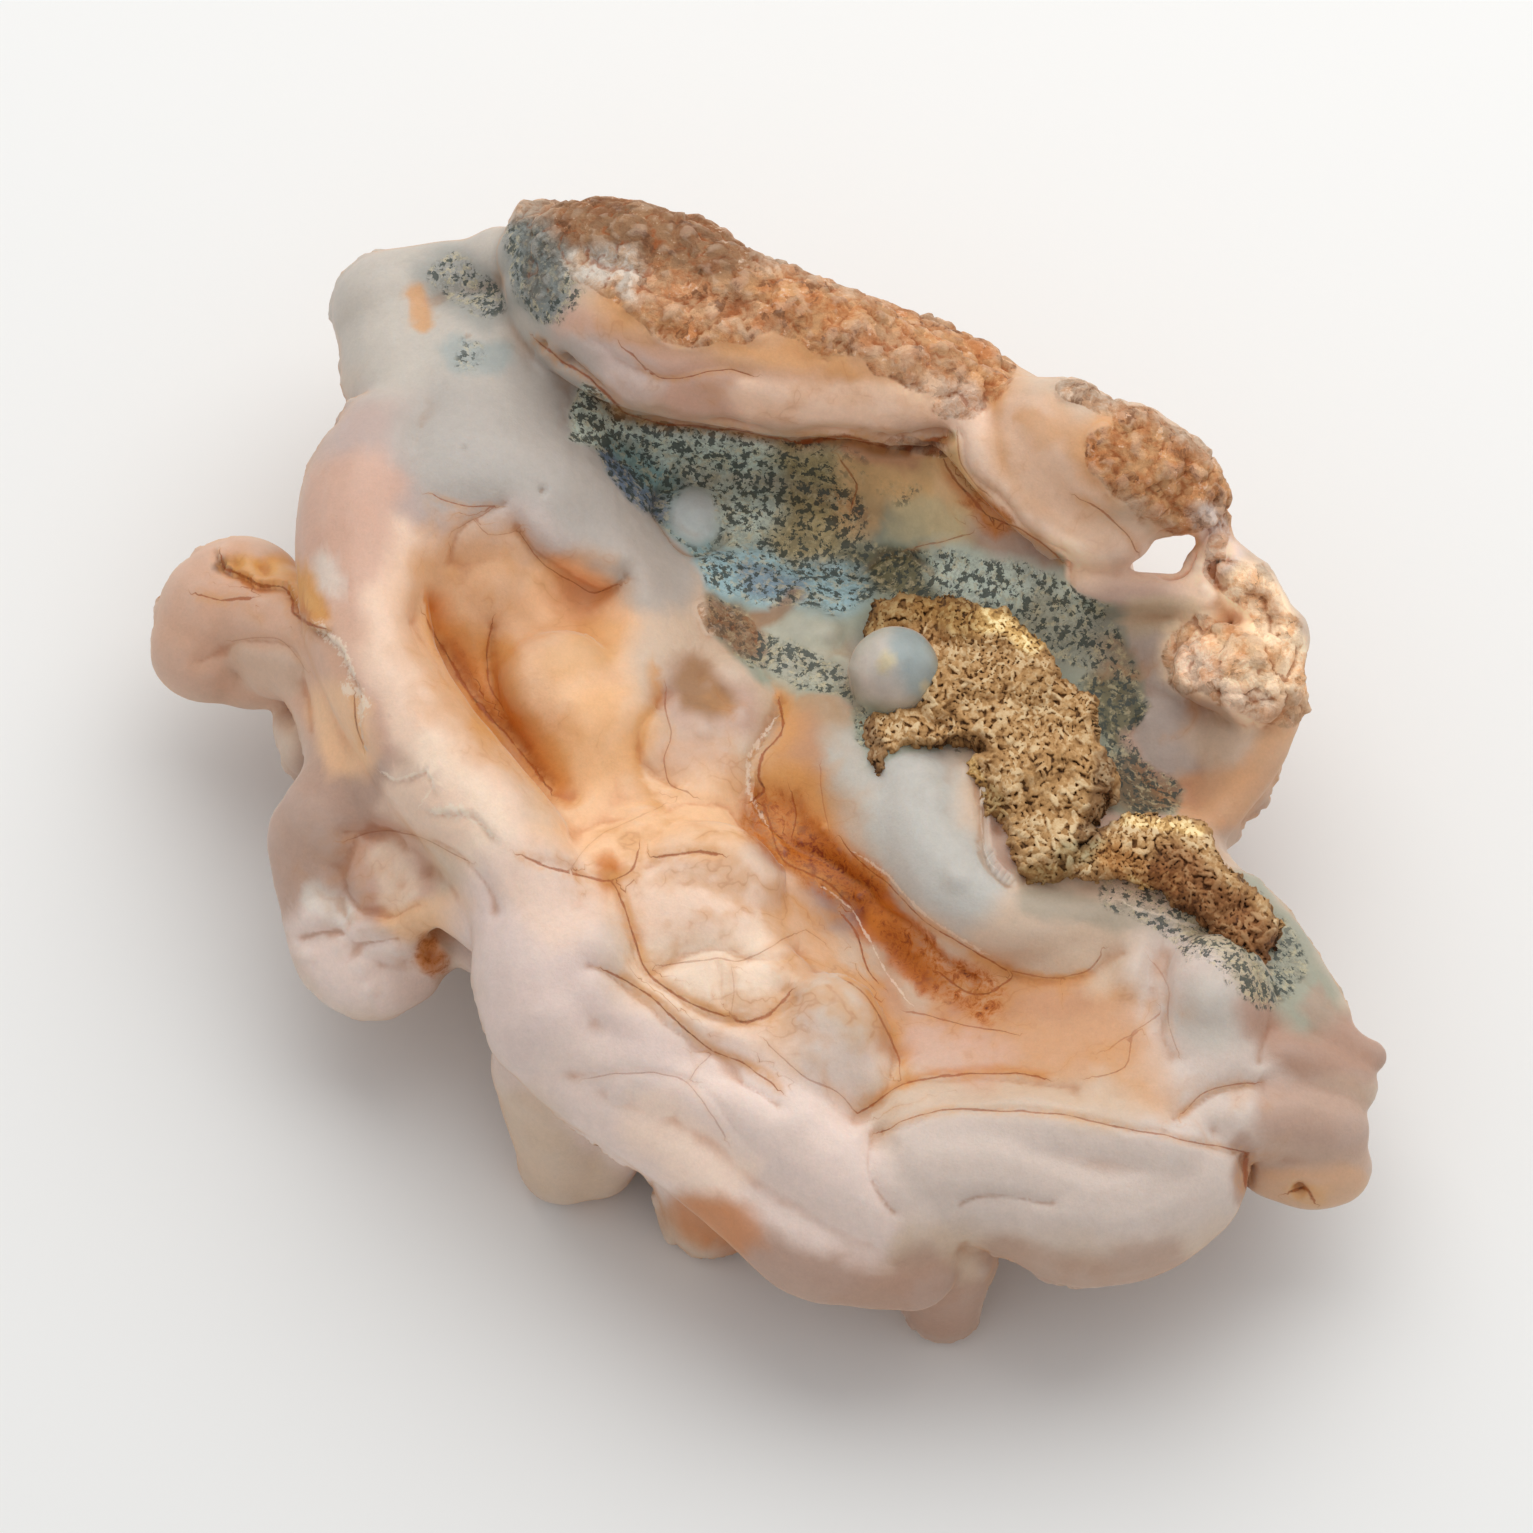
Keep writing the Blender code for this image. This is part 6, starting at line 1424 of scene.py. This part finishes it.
def roughen_wall(crust, upper):
    """Spreads the rings below the crust's edge over its wall, and makes the wall as grainy as the top."""
    points, _ = points_of(crust)
    round_edge = (len(points) - upper) // CRUST_RINGS
    ring = 1 + np.arange(len(points) - upper) // round_edge
    foot = points[-1, 2]
    share = ring / CRUST_RINGS
    edge = points[upper:, 2] + CRUST_DROP * share
    points[upper:, 2] = np.where(share < 1, edge + (foot - edge) * share, foot)
    move_points(crust, points)
    points, normals = points_of(crust)
    wall = points[upper:]
    blocks, block_tone = crags(wall, 1.1, 71)
    swell = 0.6 * noise(wall, 2.2, 72, 2) + 0.5 * np.minimum(blocks, 0.4) + 0.7 * (block_tone - 0.5)
    points[upper:] += normals[upper:] * [1, 1, 0] * (swell * (share < 1))[:, None]
    move_points(crust, points)
    tone = np.empty(len(points), np.float32)
    crust.data.attributes["tone"].data.foreach_get("value", tone)
    tone[upper:] = 0.1 + 0.5 * block_tone + 0.3 * noise(wall, 0.6, 73, 2)
    crust.data.attributes["tone"].data.foreach_set("value", tone)


class Amount:
    """A number that varies over a surface; sums and products with it add the nodes that work them out."""

    def __init__(self, paint, socket):
        self.paint = paint
        self.socket = socket

    def __add__(self, other):
        return self.paint.maths("ADD", self, other)

    def __radd__(self, other):
        return self.paint.maths("ADD", other, self)

    def __sub__(self, other):
        return self.paint.maths("SUBTRACT", self, other)

    def __rsub__(self, other):
        return self.paint.maths("SUBTRACT", other, self)

    def __mul__(self, other):
        return self.paint.maths("MULTIPLY", self, other)

    def __rmul__(self, other):
        return self.paint.maths("MULTIPLY", other, self)

    def __abs__(self):
        return self.paint.maths("ABSOLUTE", self, 0)


class Paint:
    """A material under the brush, and the nodes it is mixed from."""

    def __init__(self, name):
        self.material = bpy.data.materials.new(name)
        self.material.use_nodes = True
        self.tree = self.material.node_tree
        self.tree.nodes.clear()

    def node(self, kind, settings=None, values=None, out=0):
        """Adds a node: its settings first, then the values or links of its sockets."""
        made = self.tree.nodes.new(kind)
        for name, value in (settings or {}).items():
            if name == "stops":
                ramp = made.color_ramp
                while len(ramp.elements) < len(value):
                    ramp.elements.new(0.5)
                for element, (where, colour) in zip(ramp.elements, value):
                    element.position = where
                    element.color = (*colour, 1)
            else:
                setattr(made, name, value)
        for name, value in (values or {}).items():
            if isinstance(value, Amount):
                self.tree.links.new(value.socket, made.inputs[name])
            else:
                made.inputs[name].default_value = value
        return Amount(self, made.outputs[out]) if made.outputs else None

    def maths(self, operation, a, b):
        """The sum, difference or product of two values."""
        return self.node("ShaderNodeMath", {"operation": operation}, {0: a, 1: b})

    def mask(self, name):
        """A value that is kept over the piece's points."""
        return self.node("ShaderNodeAttribute", {"attribute_name": name}, {}, "Fac")

    def cover(self, name):
        """A colour that is kept over the piece's points."""
        return self.node("ShaderNodeAttribute", {"attribute_name": name}, {}, "Color")

    def grain(self, size, detail=3, rough=0.55, twist=0.0):
        """Even noise in lumps of this size in millimetres."""
        where = self.node("ShaderNodeTexCoord", {}, {}, "Object")
        return self.node("ShaderNodeTexNoise", {}, {
            "Vector": where, "Scale": 1 / (size * MM), "Detail": detail, "Roughness": rough,
            "Distortion": twist,
        })

    def flecks(self, size, bend):
        """Angular flecks of this size in millimetres, each with its own value, and with bent edges."""
        where = self.node("ShaderNodeTexCoord", {}, {}, "Object")
        often = 1 / (size * MM)
        shake = self.node("ShaderNodeTexNoise", {}, {"Vector": where, "Scale": 1.4 * often, "Detail": 3}, 1)
        shake = self.scaled(shake, bend * MM)
        moved = self.node("ShaderNodeVectorMath", {"operation": "ADD"}, {0: where, 1: shake})
        return self.node("ShaderNodeTexVoronoi", {}, {"Vector": moved, "Scale": often}, 1)

    def rise(self, value, low, high, bottom=0.0, top=1.0):
        """A smooth rise from bottom to top as the value goes from low to high."""
        return self.node(
            "ShaderNodeMapRange", {"interpolation_type": "SMOOTHSTEP"},
            {"Value": value, "From Min": low, "From Max": high, "To Min": bottom, "To Max": top},
        )

    def blend(self, share, a, b, way="MIX"):
        """One colour laid over another by this share."""
        return self.node("ShaderNodeMix", {"data_type": "RGBA", "blend_type": way}, {0: share, 6: a, 7: b}, 2)

    def scaled(self, colour, amount):
        """A colour or vector made this many times as strong."""
        return self.node("ShaderNodeVectorMath", {"operation": "SCALE"}, {0: colour, "Scale": amount})

    def surface(self, shader):
        """The finished material, with this shader on its surface."""
        self.node("ShaderNodeOutputMaterial", {}, {"Surface": shader})
        return self.material


def linear(name):
    """The colour of this name for a node's socket."""
    return (*shade_of(name), 1)


def waxy_chalcedony():
    """Waxy, slightly see-through stone, stained along its cracks, with speckled hollows and a dull rind."""
    paint = Paint("waxy chalcedony")
    tint = paint.cover("tint")
    hollow, specks, rind = (paint.mask(name) for name in ("hollow", "specks", "rind"))
    clouds = paint.grain(6, 4, 0.6)
    mottle = paint.grain(0.9, 4, 0.65)
    fine = paint.grain(0.25, 2, 0.6)
    body = paint.scaled(tint, 0.78 + 0.18 * clouds + 0.2 * mottle + 0.16 * fine)
    # stain gathers in the folds, and the tops of the lobes are milky
    stained = paint.blend(1, body, linear("honey"), "MULTIPLY")
    body = paint.blend(paint.rise(hollow, 0.15, 1.2) * 0.5, body, stained)
    body = paint.blend(paint.rise(hollow, -0.15, -1) * 0.12, body, linear("milk"))
    body = with_veins(paint, body, mottle)
    body = with_rust(paint, body)
    body, dark = with_specks(paint, body, specks)
    chipped = paint.mask("chip_near") * paint.rise(
        abs(paint.mask("chip")) + 4 * (mottle - 0.45) + 1.5 * (fine - 0.5), 1, 0.4,
    )
    body = paint.blend(chipped * 0.7, body, FLAKED_EDGE)
    body, line = with_cracks_and_shade_lines(paint, body, mottle, clouds)
    skin_bump = paint.node("ShaderNodeBump", {}, {
        "Strength": 0.4, "Distance": 0.12 * MM, "Height": mottle + 0.4 * fine - 0.8 * line + 0.8 * dark,
    }, "Normal")
    waxy = paint.node("ShaderNodeBsdfPrincipled", {}, {
        "Base Color": body, "Roughness": 0.42 + 0.12 * mottle, "Subsurface Weight": 0.3,
        "Subsurface Radius": (1.0, 0.6, 0.4), "Subsurface Scale": 1.5 * MM, "Specular IOR Level": 0.35,
        "Normal": skin_bump,
    })
    coarse = paint.grain(2.2, 6, 0.72, 0.5)
    share = paint.rise(rind + 0.5 * (coarse - 0.5), 0.4, 0.55)
    rock = rough_rind(paint, tint, hollow, specks, body, coarse)
    return paint.surface(paint.node("ShaderNodeMixShader", {}, {0: share, 1: waxy, 2: rock}))


def with_veins(paint, body, mottle):
    """The body with its veins: hairlines with a stained band round them."""
    veins = paint.mask("veins")
    wander = paint.grain(6.5, 3, 0.5, 0.3)
    patchy = paint.rise(paint.grain(5.2, 3), 0.4, 0.6)
    bands = paint.rise(abs(wander - 0.5), 0.13, 0) * patchy
    body = paint.blend(veins * bands * 0.5, body, linear("honey"))
    hairs = paint.rise(abs(wander - 0.5) + 0.02 * (mottle - 0.4), 0.014, 0.004) * patchy
    return paint.blend(veins * hairs * 0.2, body, linear("burnt"))


def with_rust(paint, body):
    """The body with its rust, which is darker where it lies thick."""
    rust = paint.mask("rust")
    grain = paint.grain(1.0, 5, 0.72, 0.5)
    body = paint.blend(rust * paint.rise(grain, 0.36, 0.56) * 0.85, body, linear("amber"))
    body = paint.blend(rust * paint.rise(grain, 0.5, 0.62) * 0.85, body, linear("burnt"))
    return paint.blend(rust * paint.rise(grain, 0.62, 0.68) * 0.8, body, DEEP_RUST)


def with_specks(paint, body, specks):
    """The body with pale flecks, dust and dark specks in its hollows, and where the dark ones are."""
    flakes = paint.flecks(0.5, 0.8) * 0.5 + paint.grain(1.4, 5, 0.72, 0.6)
    ground = paint.rise(specks + 0.7 * (paint.grain(4.4, 4, 0.6, 0.4) - 0.5), 0.2, 0.5)
    pale = paint.rise(paint.grain(0.9, 4, 0.7, 0.5), 0.5, 0.6) * ground
    body = paint.blend(pale * 0.5, body, linear("straw"))
    dark = paint.rise(flakes + 0.1 * specks, 0.88, 0.91) * ground
    dust = paint.rise(paint.flecks(0.26, 0.6) * 0.5 + paint.grain(1.1, 4, 0.7, 0.6), 0.74, 0.82) * ground
    body = paint.blend(dust * 0.25, body, SPECK_DUST)
    return paint.blend(dark * 0.85, body, SPECK), dark


def with_cracks_and_shade_lines(paint, body, mottle, clouds):
    """The body with its cracks and the stain beside them, and where the cracks are; a few of these lines are
    painted shade, under the ridge's lip and in a gap by the arms.
    """
    crack, near = paint.mask("crack"), paint.mask("crack_near")
    halo = near * paint.rise(abs(crack), 8, 0) * paint.rise(mottle + clouds, 0.75, 1.25)
    body = paint.blend(halo * 0.6, body, linear("honey"))
    line = near * paint.rise(abs(crack) + 3 * (mottle - 0.5) + 2 * (clouds - 0.5), 1.1, 0.1)
    body = paint.blend(line * 0.8, body, linear("burnt"))
    return paint.blend(line * paint.rise(mottle, 0.5, 0.62) * 0.7, body, linear("umber")), line


def rough_rind(paint, tint, hollow, specks, body, coarse):
    """Dull rind of crumbs and facets, with painted highlights on its tops and painted shade in its pits;
    specked parts keep the body's look.
    """
    crumbs = paint.grain(0.5, 4, 0.7)
    facets = paint.flecks(1.3, 1.6)
    dull = paint.scaled(tint, 0.45 + 0.5 * crumbs + 0.5 * facets)
    stained = paint.blend(1, dull, linear("brass"), "MULTIPLY")
    dull = paint.blend(paint.rise(coarse, 0.42, 0.6) * 0.6, dull, stained)
    # ivory on the tops of the crumbs and on the bulges is painted highlight; burnt brown in the hollows is
    # painted shade
    dull = paint.blend(paint.rise(crumbs + 0.4 * facets, 0.86, 0.98) * 0.5, dull, linear("ivory"))
    dull = paint.blend(paint.rise(hollow, -0.3, -1) * 0.2, dull, linear("ivory"))
    dull = paint.blend(paint.rise(hollow + 1.2 * (crumbs - 0.5), 0.2, 1) * 0.6, dull, linear("burnt"))
    dull = paint.blend(paint.rise(coarse - 0.25 * facets, 0.5, 0.56) * 0.45, dull, linear("umber"))
    dull = paint.blend(specks * 0.8, dull, body)
    bump = paint.node("ShaderNodeBump", {}, {
        "Strength": 0.9, "Distance": 0.5 * MM, "Height": coarse + 0.5 * crumbs,
    }, "Normal")
    return paint.node("ShaderNodeBsdfPrincipled", {}, {"Base Color": dull, "Roughness": 0.85, "Normal": bump})


def sandy_host_rock():
    """Dull golden-brown sand and fibres."""
    paint = Paint("sandy host rock")
    tone = paint.mask("tone")
    fine = paint.grain(0.3, 3, 0.6)
    patches = paint.grain(4.5, 3, 0.6)
    value = tone * 1.05 + 0.4 * (fine - 0.3) + 0.6 * (patches - 0.45)
    sand = paint.node("ShaderNodeValToRGB", {"stops": [
        (0.0, (0.05, 0.025, 0.01)), (0.2, (0.19, 0.095, 0.034)), (0.42, (0.43, 0.235, 0.082)),
        (0.7, (0.68, 0.42, 0.185)), (1.0, (0.95, 0.76, 0.48)),
    ]}, {0: value})
    sand = paint.blend(1.0, sand, paint.cover("tint"), "MULTIPLY")
    bump = paint.node("ShaderNodeBump", {}, {
        "Strength": 0.5, "Distance": 0.12 * MM, "Height": fine,
    }, "Normal")
    rock = paint.node("ShaderNodeBsdfPrincipled", {}, {"Base Color": sand, "Roughness": 0.9, "Normal": bump})
    return paint.surface(rock)


def add_table():
    """A plain pale floor that reaches far past the stone."""
    deselect()
    bpy.ops.mesh.primitive_plane_add(size=TABLE_SIZE)
    table = bpy.context.object
    table.name = "table"
    paint = Paint("pale table")
    board = paint.node("ShaderNodeBsdfPrincipled", {}, {"Base Color": TABLE_COLOUR, "Roughness": 0.6})
    table.data.materials.append(paint.surface(board))


def add_light():
    """A pale room and one large soft lamp above and behind the stone."""
    room = bpy.data.worlds.new("pale room")
    bpy.context.scene.world = room
    room.use_nodes = True
    room.node_tree.nodes["Background"].inputs["Color"].default_value = ROOM_COLOUR
    room.node_tree.nodes["Background"].inputs["Strength"].default_value = ROOM_LIGHT
    bpy.ops.object.light_add(type="AREA", location=LAMP_PLACE)
    lamp = bpy.context.object
    lamp.data.shape = "DISK"
    lamp.data.size = LAMP_SIZE
    lamp.data.energy = LAMP_POWER
    lamp.data.color = LAMP_COLOUR
    lamp.rotation_euler = (LAMP_TARGET - lamp.location).to_track_quat("-Z", "Y").to_euler()


def add_camera():
    """Looks down at the stone at the angle of the drawing, from far away."""
    bpy.ops.object.camera_add()
    camera = bpy.context.object
    camera.data.lens = LENS
    camera.data.sensor_width = SENSOR_WIDTH
    camera.data.clip_start, camera.data.clip_end = 0.1, 100
    target = Vector((0, FOOTPRINT_SHIFT.y * MM, 0))
    back = Vector(VIEW)
    camera.location = target + back * CAMERA_DISTANCE
    camera.rotation_euler = back.to_track_quat("Z", "Y").to_euler()
    bpy.context.scene.camera = camera


def show(piece, node, finish):
    """The piece stands for a node of the model and takes its finish."""
    piece.data.materials.clear()
    piece.data.materials.append(finish)
    piece.data.shade_smooth()
    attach(piece, "root")
    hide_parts(node)


bpy.context.scene.view_settings.view_transform = "Standard"
add_camera()
add_light()
add_table()
stone = make_skin()
carve(stone)
thin_out(stone)
stand_flat(stone)
stain(stone)
show(stone, "chalcedony", waxy_chalcedony())
crust = make_crust()
show(crust, "matrix_crust", sandy_host_rock())
